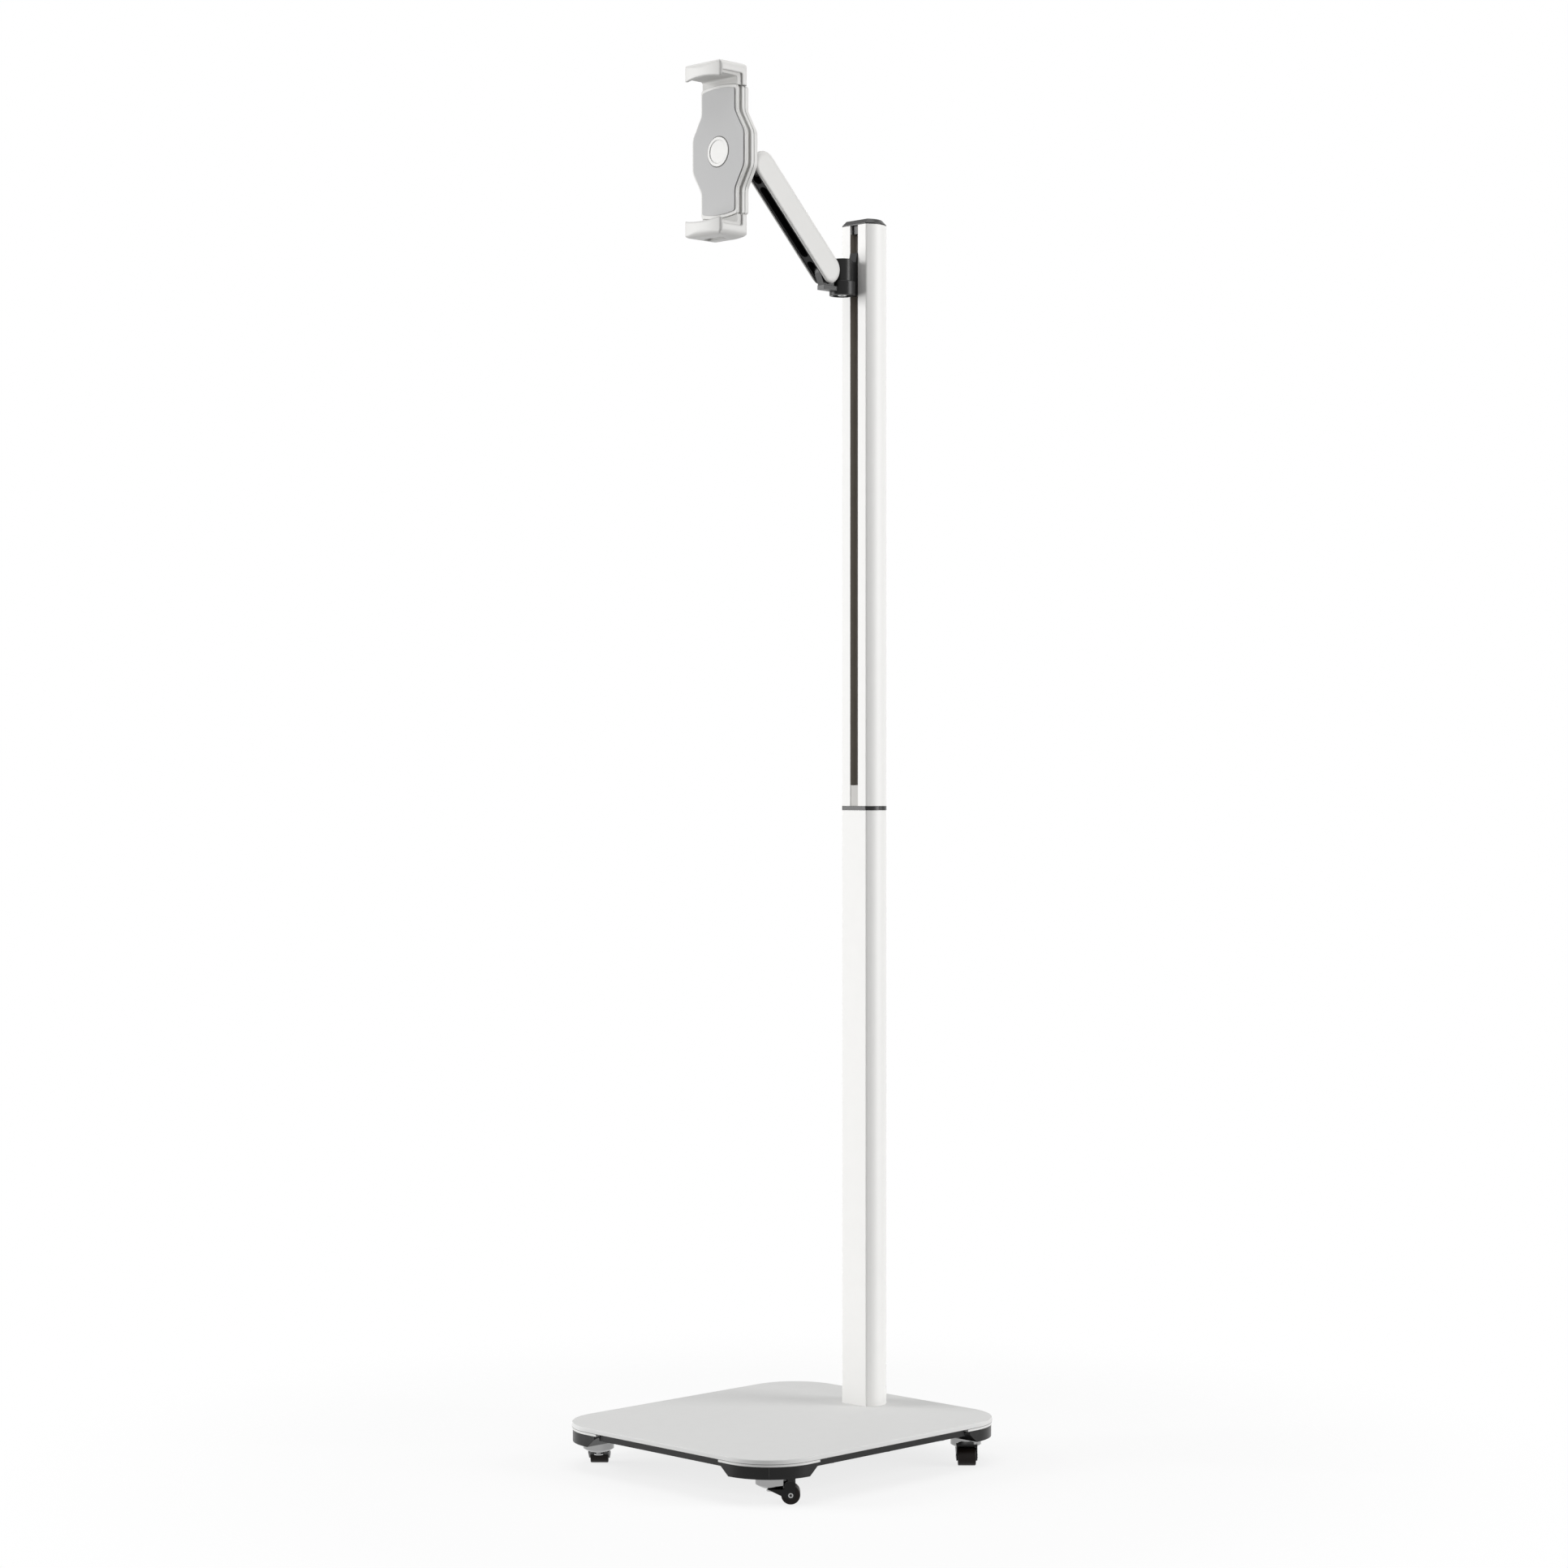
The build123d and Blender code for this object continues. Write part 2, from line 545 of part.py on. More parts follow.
for corner, (side, end, heading) in CORNERS.items():
    swivel = (side * SWIVEL_X, end * SWIVEL_Y)
    ahead = (cos(radians(heading)), sin(radians(heading)))
    # Local x runs from the swivel towards the wheel, local y runs up
    caster_side = Plane(
        origin=(swivel[0], swivel[1], 0),
        x_dir=(ahead[0], ahead[1], 0),
        z_dir=(ahead[1], -ahead[0], 0),
    )

    # Domed bowl, fixed under the housing, with a bore for the king pin
    with BuildPart() as bowl:
        with BuildSketch(caster_side) as bowl_half:
            with BuildLine():
                Polyline(
                    (BOWL_FLAT, BOWL_BOTTOM),
                    (KING_RADIUS, BOWL_BOTTOM),
                    (KING_RADIUS, HOUSING_BOTTOM),
                    (BOWL_RADIUS, HOUSING_BOTTOM),
                    (BOWL_RADIUS, HOUSING_BOTTOM - BOWL_SIDE),
                )
                ThreePointArc(
                    (BOWL_RADIUS, HOUSING_BOTTOM - BOWL_SIDE),
                    (
                        BOWL_RADIUS - BOWL_ROUND_SHARE * (BOWL_RADIUS - BOWL_FLAT),
                        BOWL_BOTTOM + BOWL_RISE_SHARE * (BOWL_DEPTH - BOWL_SIDE),
                    ),
                    (BOWL_FLAT, BOWL_BOTTOM),
                )
            make_face()
        revolve(axis=Axis((swivel[0], swivel[1], 0), (0, 0, 1)))
    finish(bowl, f"caster_bowl_{corner}")

    # Fork: crown under the bowl, slanted web, two cheeks and a bridge over the wheel
    bridge_low = 2 * WHEEL_RADIUS + BRIDGE_GAP
    with BuildPart() as fork:
        with BuildSketch(caster_side):
            with BuildLine() as fork_side:
                Polyline(
                    (0, CROWN_BOTTOM),
                    (-FORK_NOSE, CROWN_TOP),
                    (BOWL_RADIUS, bridge_low + BRIDGE_THICK),
                    (TRAIL + BRIDGE_REACH, bridge_low + BRIDGE_THICK),
                )
                CenterArc((TRAIL, WHEEL_RADIUS), CHEEK_END, 0, 359)
            make_hull()
        extrude(amount=FORK_WIDTH / 2, both=True)
        with BuildSketch(caster_side):
            with Locations((BOWL_FLAT, -OVERRUN)):
                Rectangle(
                    3 * TRAIL,
                    bridge_low + OVERRUN,
                    align=(Align.MIN, Align.MIN),
                )
        extrude(amount=WHEEL_WIDTH / 2 + AIR_GAP, both=True, mode=Mode.SUBTRACT)
        # Room for the bowl above the crown
        with BuildSketch(Plane.XY.offset(CROWN_TOP)):
            with Locations(swivel):
                Circle(BOWL_RADIUS + PIECE_GAP)
        extrude(amount=BOWL_DEPTH, mode=Mode.SUBTRACT)
        with BuildSketch(Plane.XY.offset(CROWN_BOTTOM - OVERRUN)):
            with Locations(swivel):
                Circle(KING_RADIUS + RUN_GAP)
        extrude(amount=CROWN_THICK + 2 * OVERRUN, mode=Mode.SUBTRACT)
        with BuildSketch(caster_side):
            with Locations((TRAIL, WHEEL_RADIUS)):
                Circle(AXLE_RADIUS)
        extrude(amount=FORK_WIDTH, both=True, mode=Mode.SUBTRACT)
        # Pocket in the web for the king pin's head
        with BuildSketch(Plane.XY.offset(0)):
            with Locations(swivel):
                Circle(KING_HEAD + PIECE_GAP)
        extrude(amount=CROWN_BOTTOM, mode=Mode.SUBTRACT)
    finish(fork, f"caster_fork_{corner}")

    with BuildPart() as axle:
        with BuildSketch(caster_side):
            with Locations((TRAIL, WHEEL_RADIUS)):
                Circle(AXLE_RADIUS)
        extrude(amount=FORK_WIDTH / 2 + AXLE_PROUD, both=True)
        for way in (-1, 1):
            with BuildSketch(caster_side.offset(way * (FORK_WIDTH / 2 + AXLE_PROUD))):
                with Locations((TRAIL, WHEEL_RADIUS)):
                    Circle(DIMPLE_RADIUS)
            extrude(amount=-way * DIMPLE_DEPTH, mode=Mode.SUBTRACT)
    finish(axle, f"caster_axle_{corner}")

    with BuildPart() as wheel:
        with BuildSketch(caster_side):
            with Locations((TRAIL, WHEEL_RADIUS)):
                Circle(WHEEL_RADIUS)
                Circle(AXLE_RADIUS + RUN_GAP, mode=Mode.SUBTRACT)
        extrude(amount=WHEEL_WIDTH / 2, both=True)
        fillet(wheel.edges().filter_by(GeomType.CIRCLE).group_by(SortBy.RADIUS)[-1], WHEEL_EDGE)
    finish(wheel, f"caster_wheel_{corner}")

# Column foot inside the lower tube, and the bolts that hold it from below
with BuildPart() as column_foot:
    with BuildSketch(Plane.XY.offset(PLATE_TOP)):
        with Locations((0, COLUMN_Y)):
            column_outline(LOWER_WALL + SEAT_GAP)
    extrude(amount=FOOT_HEIGHT)
    with BuildSketch(Plane.XY.offset(PLATE_TOP)):
        with Locations(bolt_places):
            Circle(BOLT_RADIUS)
    extrude(amount=BOLT_GRIP, mode=Mode.SUBTRACT)
finish(column_foot, "column_foot")

with BuildPart() as column_bolts:
    with BuildSketch(Plane.XY.offset(TRAY_BOTTOM - BOLT_HEAD_THICK)):
        with Locations(bolt_places):
            Circle(BOLT_HEAD)
    extrude(amount=BOLT_HEAD_THICK)
    with BuildSketch(Plane.XY.offset(TRAY_BOTTOM)):
        with Locations(bolt_places):
            Circle(BOLT_RADIUS)
    extrude(amount=TRAY_HEIGHT + PLATE_THICK + BOLT_GRIP)
    with BuildSketch(Plane.XY.offset(TRAY_BOTTOM - BOLT_HEAD_THICK)):
        with Locations(bolt_places):
            RegularPolygon(BOLT_HEX / 2, 6)
    extrude(amount=BOLT_HEX_DEPTH, mode=Mode.SUBTRACT)
finish(column_bolts, "column_bolts")

with BuildPart() as lower_tube:
    with BuildSketch(Plane.XY.offset(PLATE_TOP)):
        with Locations((0, COLUMN_Y)):
            column_outline(0)
            column_outline(LOWER_WALL, mode=Mode.SUBTRACT)
    extrude(amount=LOWER_TOP - PLATE_TOP)
finish(lower_tube, "lower_tube")

# Flush collar between the tubes, threaded over the core that joins them
with BuildPart() as joint_collar:
    with BuildSketch(Plane.XY.offset(LOWER_TOP)):
        with Locations((0, COLUMN_Y)):
            column_outline(-COLLAR_PROUD)
            column_outline(UPPER_WALL + SEAT_GAP, mode=Mode.SUBTRACT)
    extrude(amount=COLLAR_HEIGHT)
finish(joint_collar, "joint_collar")

with BuildPart() as joint_core:
    with BuildSketch(Plane.XY.offset(LOWER_TOP - CORE_DOWN)):
        with Locations((0, COLUMN_Y)):
            column_outline(LOWER_WALL + SEAT_GAP)
            Circle(CORE_BORE, mode=Mode.SUBTRACT)
    extrude(amount=CORE_DOWN)
    with BuildSketch(Plane.XY.offset(LOWER_TOP)):
        with Locations((0, COLUMN_Y)):
            column_outline(UPPER_WALL + SEAT_GAP)
            Circle(CORE_BORE, mode=Mode.SUBTRACT)
    extrude(amount=PLUG_TOP - LOWER_TOP)
finish(joint_core, "joint_core")

# Upper tube: slot along the whole front, ledges inside that carry the liner
with BuildPart() as upper_tube:
    with BuildSketch(Plane.XY.offset(UPPER_LOW)):
        with Locations((0, COLUMN_Y)):
            column_outline(0)
            column_outline(UPPER_WALL, mode=Mode.SUBTRACT)
        with Locations((0, COLUMN_FRONT)):
            Rectangle(
                SLOT_WIDTH,
                2 * UPPER_WALL + OVERRUN,
                mode=Mode.SUBTRACT,
            )
    extrude(amount=UPPER_TOP - UPPER_LOW)
    with BuildSketch(Plane.XY.offset(PLUG_TOP)):
        with Locations((0, COLUMN_Y)):
            column_outline(UPPER_WALL)
        with Locations((0, LINER_BACK)):
            Rectangle(
                2 * COLUMN_RADIUS,
                LEDGE_THICK,
                align=(Align.CENTER, Align.MIN),
                mode=Mode.INTERSECT,
            )
            Rectangle(
                LINER_WIDTH - 2 * LEDGE_REACH,
                LEDGE_THICK + OVERRUN,
                align=(Align.CENTER, Align.MIN),
                mode=Mode.SUBTRACT,
            )
    extrude(amount=LINER_TOP - PLUG_TOP)
finish(upper_tube, "upper_tube")

# Liner behind the slot, with two columns of short slits
with BuildPart() as track_liner:
    with BuildSketch(Plane.XY.offset(PLUG_TOP)):
        with Locations((0, LINER_FRONT)):
            Rectangle(LINER_WIDTH, LINER_THICK, align=(Align.CENTER, Align.MIN))
    extrude(amount=LINER_TOP - PLUG_TOP)
    with BuildSketch(Plane.XZ.offset(-LINER_FRONT)):
        for side in (-1, 1):
            for step in range(4):
                with Locations((side * SLIT_SIDE, SLIT_FIRST + step * SLIT_PITCH)):
                    Rectangle(SLIT_WIDTH, SLIT_HEIGHT)
    extrude(amount=-LINER_THICK, mode=Mode.SUBTRACT)
finish(track_liner, "track_liner")

with BuildPart() as track_plug:
    with BuildSketch(Plane.XY.offset(UPPER_LOW)):
        with Locations((0, COLUMN_FRONT + PLUG_SETBACK)):
            Rectangle(
                SLOT_WIDTH - 2 * SEAT_GAP,
                UPPER_WALL - PLUG_SETBACK,
                align=(Align.CENTER, Align.MIN),
            )
    extrude(amount=PLUG_HEIGHT)
finish(track_plug, "track_plug")

# Top cap with a broad bevelled edge and a spigot inside the tube
with BuildPart() as top_cap:
    with BuildSketch(Plane.XY.offset(UPPER_TOP)):
        with Locations((0, COLUMN_Y)):
            column_outline(0)
    extrude(amount=CAP_EDGE)
    with BuildSketch(Plane.XY.offset(UPPER_TOP + CAP_EDGE)):
        with Locations((0, COLUMN_Y)):
            column_outline(0)
    with BuildSketch(Plane.XY.offset(UPPER_TOP + CAP_HEIGHT)):
        with Locations((0, COLUMN_Y)):
            column_outline(CAP_BEVEL)
    loft()
    with BuildSketch(Plane.XY.offset(LINER_TOP)):
        with Locations((0, COLUMN_Y)):
            column_outline(UPPER_WALL + SEAT_GAP)
    extrude(amount=LINER_TOP_GAP)
finish(top_cap, "top_cap")

# Carriage: tee that runs behind the slot, neck, wedge rib and the upper hub
with BuildPart() as carriage:
    with BuildSketch(SIDE_PLANE):
        Polygon(
            (CHAMBER_FRONT + AIR_GAP, CARRIAGE_LOW),
            (CHAMBER_FRONT + AIR_GAP, CARRIAGE_HIGH),
            (COLUMN_FRONT - PIECE_GAP, CARRIAGE_HIGH),
            (HUB_Y + HUB_RADIUS - OVERRUN, HUB_LOW),
            (HUB_Y + CUP_RADIUS + PIECE_GAP, HUB_LOW),
            (HUB_Y + CUP_RADIUS + PIECE_GAP, CARRIAGE_LOW),
            align=None,
        )
        Polygon(
            (HUB_Y, HUB_LOW),
            (COLUMN_FRONT, HUB_LOW),
            (COLUMN_FRONT, HUB_LOW + HUB_HEIGHT - 2 * HUB_EDGE),
            (HUB_Y, HUB_LOW + HUB_HEIGHT - 2 * HUB_EDGE),
            align=None,
        )
    extrude(amount=NECK_WIDTH / 2, both=True)
    with BuildSketch(Plane.XY.offset(CARRIAGE_LOW)):
        with Locations((0, CHAMBER_FRONT + AIR_GAP)):
            Rectangle(TEE_WIDTH, TEE_THICK, align=(Align.CENTER, Align.MIN))
    extrude(amount=CARRIAGE_HIGH - CARRIAGE_LOW)
    with BuildSketch(Plane.XY.offset(HUB_LOW)):
        with Locations((0, HUB_Y)):
            Circle(HUB_RADIUS)
    extrude(amount=HUB_HEIGHT)
    fillet(carriage.edges().filter_by(GeomType.CIRCLE).sort_by(Axis.Z)[-1], HUB_EDGE)
    with BuildSketch(Plane.XY.offset(HUB_LOW)):
        with Locations((0, HUB_Y)):
            Circle(HUB_BOLT_RADIUS)
    extrude(amount=HUB_BOLT_GRIP, mode=Mode.SUBTRACT)
finish(carriage, "carriage")

# Four plastic shoes clipped to the edges of the tee
with BuildPart() as carriage_shoes:
    for low in (CARRIAGE_LOW + SHOE_END, CARRIAGE_HIGH - SHOE_END - SHOE_HEIGHT):
        for side in (-1, 1):
            with BuildSketch(Plane.XY.offset(low)):
                with Locations(
                    (side * (TEE_WIDTH + SHOE_WIDTH) / 2, CHAMBER_FRONT + AIR_GAP)
                ):
                    Rectangle(SHOE_WIDTH, TEE_THICK, align=(Align.CENTER, Align.MIN))
            extrude(amount=SHOE_HEIGHT)
finish(carriage_shoes, "carriage_shoes")

# Cup that turns under the hub, with a recess below for the bolt and washer
with BuildPart() as hub_cup:
    with BuildSketch(Plane.XY.offset(CUP_LOW)):
        with Locations((0, HUB_Y)):
            Circle(CUP_RADIUS)
    extrude(amount=CUP_HEIGHT)
    fillet(hub_cup.edges().filter_by(GeomType.CIRCLE), CUP_EDGE)
    with BuildSketch(Plane.XY.offset(CUP_LOW)):
        with Locations((0, HUB_Y)):
            Circle(CUP_RECESS)
    extrude(amount=CUP_RECESS_DEPTH, mode=Mode.SUBTRACT)
    with BuildSketch(Plane.XY.offset(CUP_FLOOR)):
        with Locations((0, HUB_Y)):
            Circle(HUB_BOLT_RADIUS + RUN_GAP)
    extrude(amount=CUP_HEIGHT, mode=Mode.SUBTRACT)
finish(hub_cup, "hub_cup")

washer_top = CUP_FLOOR - AIR_GAP
with BuildPart() as hub_washer:
    with BuildSketch(Plane.XY.offset(washer_top - WASHER_THICK)):
        with Locations((0, HUB_Y)):
            Circle(WASHER_RADIUS)
            Circle(HUB_BOLT_RADIUS, mode=Mode.SUBTRACT)
    extrude(amount=WASHER_THICK)
finish(hub_washer, "hub_washer")

bolt_seat = washer_top - WASHER_THICK
with BuildPart() as hub_bolt:
    with BuildSketch(Plane.XY.offset(bolt_seat - HUB_BOLT_HEAD_THICK)):
        with Locations((0, HUB_Y)):
            Circle(HUB_BOLT_HEAD)
    extrude(amount=HUB_BOLT_HEAD_THICK)
    with BuildSketch(Plane.XY.offset(bolt_seat)):
        with Locations((0, HUB_Y)):
            Circle(HUB_BOLT_RADIUS)
    extrude(amount=HUB_LOW + HUB_BOLT_GRIP - bolt_seat)
    with BuildSketch(Plane.XY.offset(bolt_seat - HUB_BOLT_HEAD_THICK)):
        with Locations((0, HUB_Y)):
            RegularPolygon(HUB_BOLT_HEX / 2, 6)
    extrude(amount=HUB_BOLT_HEX_DEPTH, mode=Mode.SUBTRACT)
finish(hub_bolt, "hub_bolt")

# Bracket: block on the cup's front and a lug that stands up into the arm
with BuildPart() as arm_bracket:
    with BuildSketch(SIDE_PLANE):
        Polygon(
            (BLOCK_FRONT, BLOCK_LOW),
            (BLOCK_FRONT, BLOCK_TOP),
            (HUB_Y, BLOCK_TOP),
            (HUB_Y, BLOCK_LOW),
            align=None,
        )
    extrude(amount=BLOCK_WIDTH / 2, both=True)
    with BuildSketch(SIDE_PLANE):
        with BuildLine():
            Polyline((LEG_FRONT, BLOCK_TOP), (LEG_BACK, BLOCK_TOP))
            CenterArc((ELBOW_Y, ELBOW_Z), LOW_LUG_RADIUS, 0, 359)
        make_hull()
    extrude(amount=LUG_WIDTH / 2, both=True)
    with BuildSketch(Plane.XY.offset(BLOCK_LOW - OVERRUN)):
        with Locations((0, HUB_Y)):
            Circle(CUP_RADIUS)
    extrude(amount=CUP_HEIGHT, mode=Mode.SUBTRACT)
    with BuildSketch(SIDE_PLANE):
        with Locations((ELBOW_Y, ELBOW_Z)):
            Circle(PIN_RADIUS + RUN_GAP)
    extrude(amount=LUG_WIDTH, both=True, mode=Mode.SUBTRACT)
finish(arm_bracket, "arm_bracket")

# Arm shell: rounded channel, open below, with a gap at each end for the lugs
with BuildPart() as arm_shell:
    with BuildSketch(ARM_PLANE):
        with Locations((ARM_LENGTH / 2, 0)):
            SlotCenterToCenter(ARM_LENGTH, 2 * ARM_RADIUS)
    extrude(amount=ARM_WIDTH / 2, both=True)
    outer_faces = arm_shell.faces().filter_by(Axis.X)
    fillet(outer_faces.edges(), ARM_EDGE)
    with BuildSketch(ARM_PLANE):
        with Locations((ARM_LENGTH / 2, -RIM_DEPTH)):
            Rectangle(
                ARM_LENGTH + 4 * ARM_RADIUS,
                2 * ARM_RADIUS,
                align=(Align.CENTER, Align.MAX),
            )
    extrude(amount=ARM_WIDTH, both=True, mode=Mode.SUBTRACT)
    with BuildSketch(ARM_PLANE):
        with Locations((ARM_LENGTH / 2, 0)):
            SlotCenterToCenter(ARM_LENGTH, 2 * (ARM_RADIUS - ARM_WALL))
            Rectangle(
                ARM_LENGTH + 2 * RIM_OPEN,
                ARM_RADIUS + OVERRUN,
                align=(Align.CENTER, Align.MAX),
            )
    extrude(amount=ARM_WIDTH / 2 - ARM_WALL, both=True, mode=Mode.SUBTRACT)
    with BuildSketch(ARM_PLANE):
        with Locations((ARM_LENGTH / 2, FORK_GAP_TOP)):
            Rectangle(
                ARM_LENGTH + 4 * ARM_RADIUS,
                2 * ARM_RADIUS,
                align=(Align.CENTER, Align.MAX),
            )
    extrude(amount=POCKET_WIDTH / 2, both=True, mode=Mode.SUBTRACT)
finish(arm_shell, "arm_shell")

# Arm frame: block inside the shell with three round-ended pockets from below
frame_half = ARM_WIDTH / 2 - ARM_WALL - FRAME_GAP
with BuildPart() as arm_frame:
    with BuildSketch(ARM_PLANE):
        with Locations((ARM_LENGTH / 2, 0)):
            SlotCenterToCenter(ARM_LENGTH, 2 * (ARM_RADIUS - ARM_WALL - FRAME_GAP))
        with Locations((ARM_LENGTH / 2, -FRAME_DEPTH)):
            Rectangle(
                ARM_LENGTH + 4 * ARM_RADIUS,
                FRAME_DEPTH + FRAME_TOP,
                align=(Align.CENTER, Align.MIN),
                mode=Mode.INTERSECT,
            )
    extrude(amount=frame_half, both=True)
    underside = Plane(
        origin=ARM_PLANE.from_local_coords((0, -FRAME_DEPTH, 0)),
        x_dir=ARM_PLANE.x_dir,
        z_dir=-ARM_PLANE.y_dir,
    )
    pocket_ends = (
        (-3 * ARM_RADIUS, LOW_WEB_START, 4 * ARM_RADIUS),
        (LOW_WEB_END, HIGH_WEB_START, POCKET_DEPTH),
        (HIGH_WEB_END, ARM_LENGTH + 3 * ARM_RADIUS, 4 * ARM_RADIUS),
    )
    for start, end, depth in pocket_ends:
        with BuildSketch(underside):
            with Locations(((start + end) / 2, 0)):
                SlotOverall(end - start, POCKET_WIDTH)
        extrude(amount=-depth, mode=Mode.SUBTRACT)
    for centre in (0, ARM_LENGTH):
        with BuildSketch(ARM_PLANE):
            with Locations((centre, 0)):
                Circle(PIN_RADIUS)
        extrude(amount=ARM_WIDTH, both=True, mode=Mode.SUBTRACT)
finish(arm_frame, "arm_frame")

for centre, name in ((0, "elbow_pin"), (ARM_LENGTH, "wrist_pin")):
    with BuildPart() as pin:
        with BuildSketch(ARM_PLANE):
            with Locations((centre, 0)):
                Circle(PIN_RADIUS)
        extrude(amount=frame_half, both=True)
    finish(pin, name)

# Head knuckle: lug on the wrist pin, leg forward to a round plate
with BuildPart() as head_knuckle:
    with BuildSketch(SIDE_PLANE):
        with BuildLine():
            Polyline(
                (-HEAD_PLATE_BACK - OVERRUN, CLAMP_Z - HEAD_LEG_HALF),
                (-HEAD_PLATE_BACK - OVERRUN, CLAMP_Z + HEAD_LEG_HALF / 2),
            )
            CenterArc((WRIST_Y, WRIST_Z), HIGH_LUG_RADIUS, 0, 359)
        make_hull()
    extrude(amount=LUG_WIDTH / 2, both=True)
    with BuildSketch(clamp_plane(HEAD_PLATE_BACK)):
        Circle(HEAD_PLATE_RADIUS)
    extrude(amount=HEAD_PLATE_THICK)
    with BuildSketch(clamp_plane(HEAD_PLATE_BACK)):
        Circle(TURN_BOLT_RADIUS)
    extrude(amount=HEAD_PLATE_THICK, mode=Mode.SUBTRACT)
    with BuildSketch(SIDE_PLANE):
        with Locations((WRIST_Y, WRIST_Z)):
            Circle(PIN_RADIUS + RUN_GAP)
    extrude(amount=LUG_WIDTH, both=True, mode=Mode.SUBTRACT)
finish(head_knuckle, "head_knuckle")

# Turning boss on the clamp's back, and the bolt that it turns about
turn_back = HEAD_PLATE_FRONT + AIR_GAP
recess_floor = BODY_BACK - TURN_RECESS_DEPTH
with BuildPart() as turn_boss:
    with BuildSketch(clamp_plane(turn_back)):
        Circle(TURN_NECK_RADIUS)
    extrude(amount=BODY_BACK - turn_back)
    with BuildSketch(clamp_plane(BODY_BACK)):
        Circle(TURN_FLANGE_RADIUS)
    extrude(amount=-TURN_FLANGE_THICK)
    with BuildSketch(clamp_plane(BODY_BACK)):
        Circle(TURN_RECESS_RADIUS)
    extrude(amount=-TURN_RECESS_DEPTH, mode=Mode.SUBTRACT)
    with BuildSketch(clamp_plane(BODY_BACK)):
        Circle(TURN_BOLT_RADIUS + RUN_GAP)
    extrude(amount=turn_back - BODY_BACK, mode=Mode.SUBTRACT)
finish(turn_boss, "turn_boss")

with BuildPart() as turn_bolt:
    with BuildSketch(clamp_plane(HEAD_PLATE_BACK)):
        Circle(TURN_BOLT_RADIUS)
    extrude(amount=recess_floor + AIR_GAP - HEAD_PLATE_BACK)
    with BuildSketch(clamp_plane(recess_floor + AIR_GAP)):
        Circle(TURN_BOLT_HEAD)
    extrude(amount=TURN_BOLT_HEAD_THICK)
finish(turn_bolt, "turn_bolt")


def clamp_outline(inset, half, arch):
    """Waisted outline of the clamp, drawn in by an inset, with arched ends."""
    wide = BODY_WIDE - inset
    narrow = BODY_NARROW - inset
    with BuildSketch(mode=Mode.PRIVATE) as shape:
        with BuildLine():
            for side in (-1, 1):
                Polyline(
                    (side * narrow, half),
                    (side * narrow, WAIST_END),
                    (side * wide, WAIST_START),
                    (side * wide, -WAIST_START),
                    (side * narrow, -WAIST_END),
                    (side * narrow, -half),
                )
            for end in (-half, half):
                if arch > 0:
                    middle = end + arch * end / half
                    ThreePointArc((-narrow, end), (0, middle), (narrow, end))
                else:
                    Line((-narrow, end), (narrow, end))
        make_face()
        waist = shape.vertices().filter_by(lambda v: abs(v.Y) < half - BODY_CORNER)
        fillet(waist, WAIST_ROUND)
        fillet(shape.vertices().filter_by(lambda v: abs(v.Y) > half - 2 * BODY_CORNER), BODY_CORNER)
    return shape.sketch


# Back shell with a rounded rear edge and bores for the clamp's screws
clamp_screw_grid = GridLocations(2 * CLAMP_SCREW_X, 2 * CLAMP_SCREW_Z, 2, 2)
with BuildPart() as back_shell:
    with BuildSketch(clamp_plane(BODY_BACK)):
        add(clamp_outline(0, BODY_HALF, 0))
    extrude(amount=BACK_THICK)
    fillet(back_shell.faces().sort_by(Axis.Y)[-1].edges(), BACK_EDGE)
    with BuildSketch(clamp_plane(BODY_BACK)):
        with clamp_screw_grid:
            Circle(CLAMP_SCREW_RADIUS)
    extrude(amount=BACK_THICK, mode=Mode.SUBTRACT)
    with BuildSketch(clamp_plane(BODY_BACK)):
        with clamp_screw_grid:
            Circle(CLAMP_SCREW_HEAD)
    extrude(amount=CLAMP_SCREW_HEAD_THICK, mode=Mode.SUBTRACT)
finish(back_shell, "back_shell")

with BuildPart() as mid_shell:
    with BuildSketch(clamp_plane(BACK_DEPTH)):
        add(clamp_outline(0, BODY_HALF, 0))
    extrude(amount=MID_THICK)
    chamfer(mid_shell.faces().sort_by(Axis.Y)[-1].edges(), MID_EDGE)
    with BuildSketch(clamp_plane(MID_DEPTH)):
        Circle(STEM_RADIUS + PIECE_GAP)
    extrude(amount=-BUTTON_TRAVEL - PIECE_GAP, mode=Mode.SUBTRACT)
    with BuildSketch(clamp_plane(BACK_DEPTH)):
        with clamp_screw_grid:
            Circle(CLAMP_SCREW_RADIUS)
    extrude(amount=CLAMP_SCREW_GRIP - BACK_THICK + CLAMP_SCREW_HEAD_THICK, mode=Mode.SUBTRACT)
finish(mid_shell, "mid_shell")

# Guide frame: inset layer with a channel at the back for the jaws' tongues
button_front = PAD_DEPTH + BUTTON_PROUD
button_back = button_front - BUTTON_THICK
with BuildPart() as guide_frame:
    with BuildSketch(clamp_plane(MID_DEPTH)):
        add(clamp_outline(GUIDE_INSET, BODY_HALF, 0))
    extrude(amount=GUIDE_THICK)
    with BuildSketch(clamp_plane(MID_DEPTH)):
        Rectangle(TONGUE_WIDTH + 2 * AIR_GAP, 2 * (BODY_HALF + OVERRUN))
    extrude(amount=JAW_LEG_FRONT - MID_DEPTH, mode=Mode.SUBTRACT)
    with BuildSketch(clamp_plane(MID_DEPTH)):
        Circle(STEM_RADIUS + RUN_GAP)
    extrude(amount=GUIDE_THICK, mode=Mode.SUBTRACT)
    # Room in front for the button when it is pressed
    with BuildSketch(clamp_plane(button_back - BUTTON_TRAVEL - AIR_GAP)):
        Circle(BUTTON_HOLE)
    extrude(amount=GUIDE_THICK, mode=Mode.SUBTRACT)
finish(guide_frame, "guide_frame")

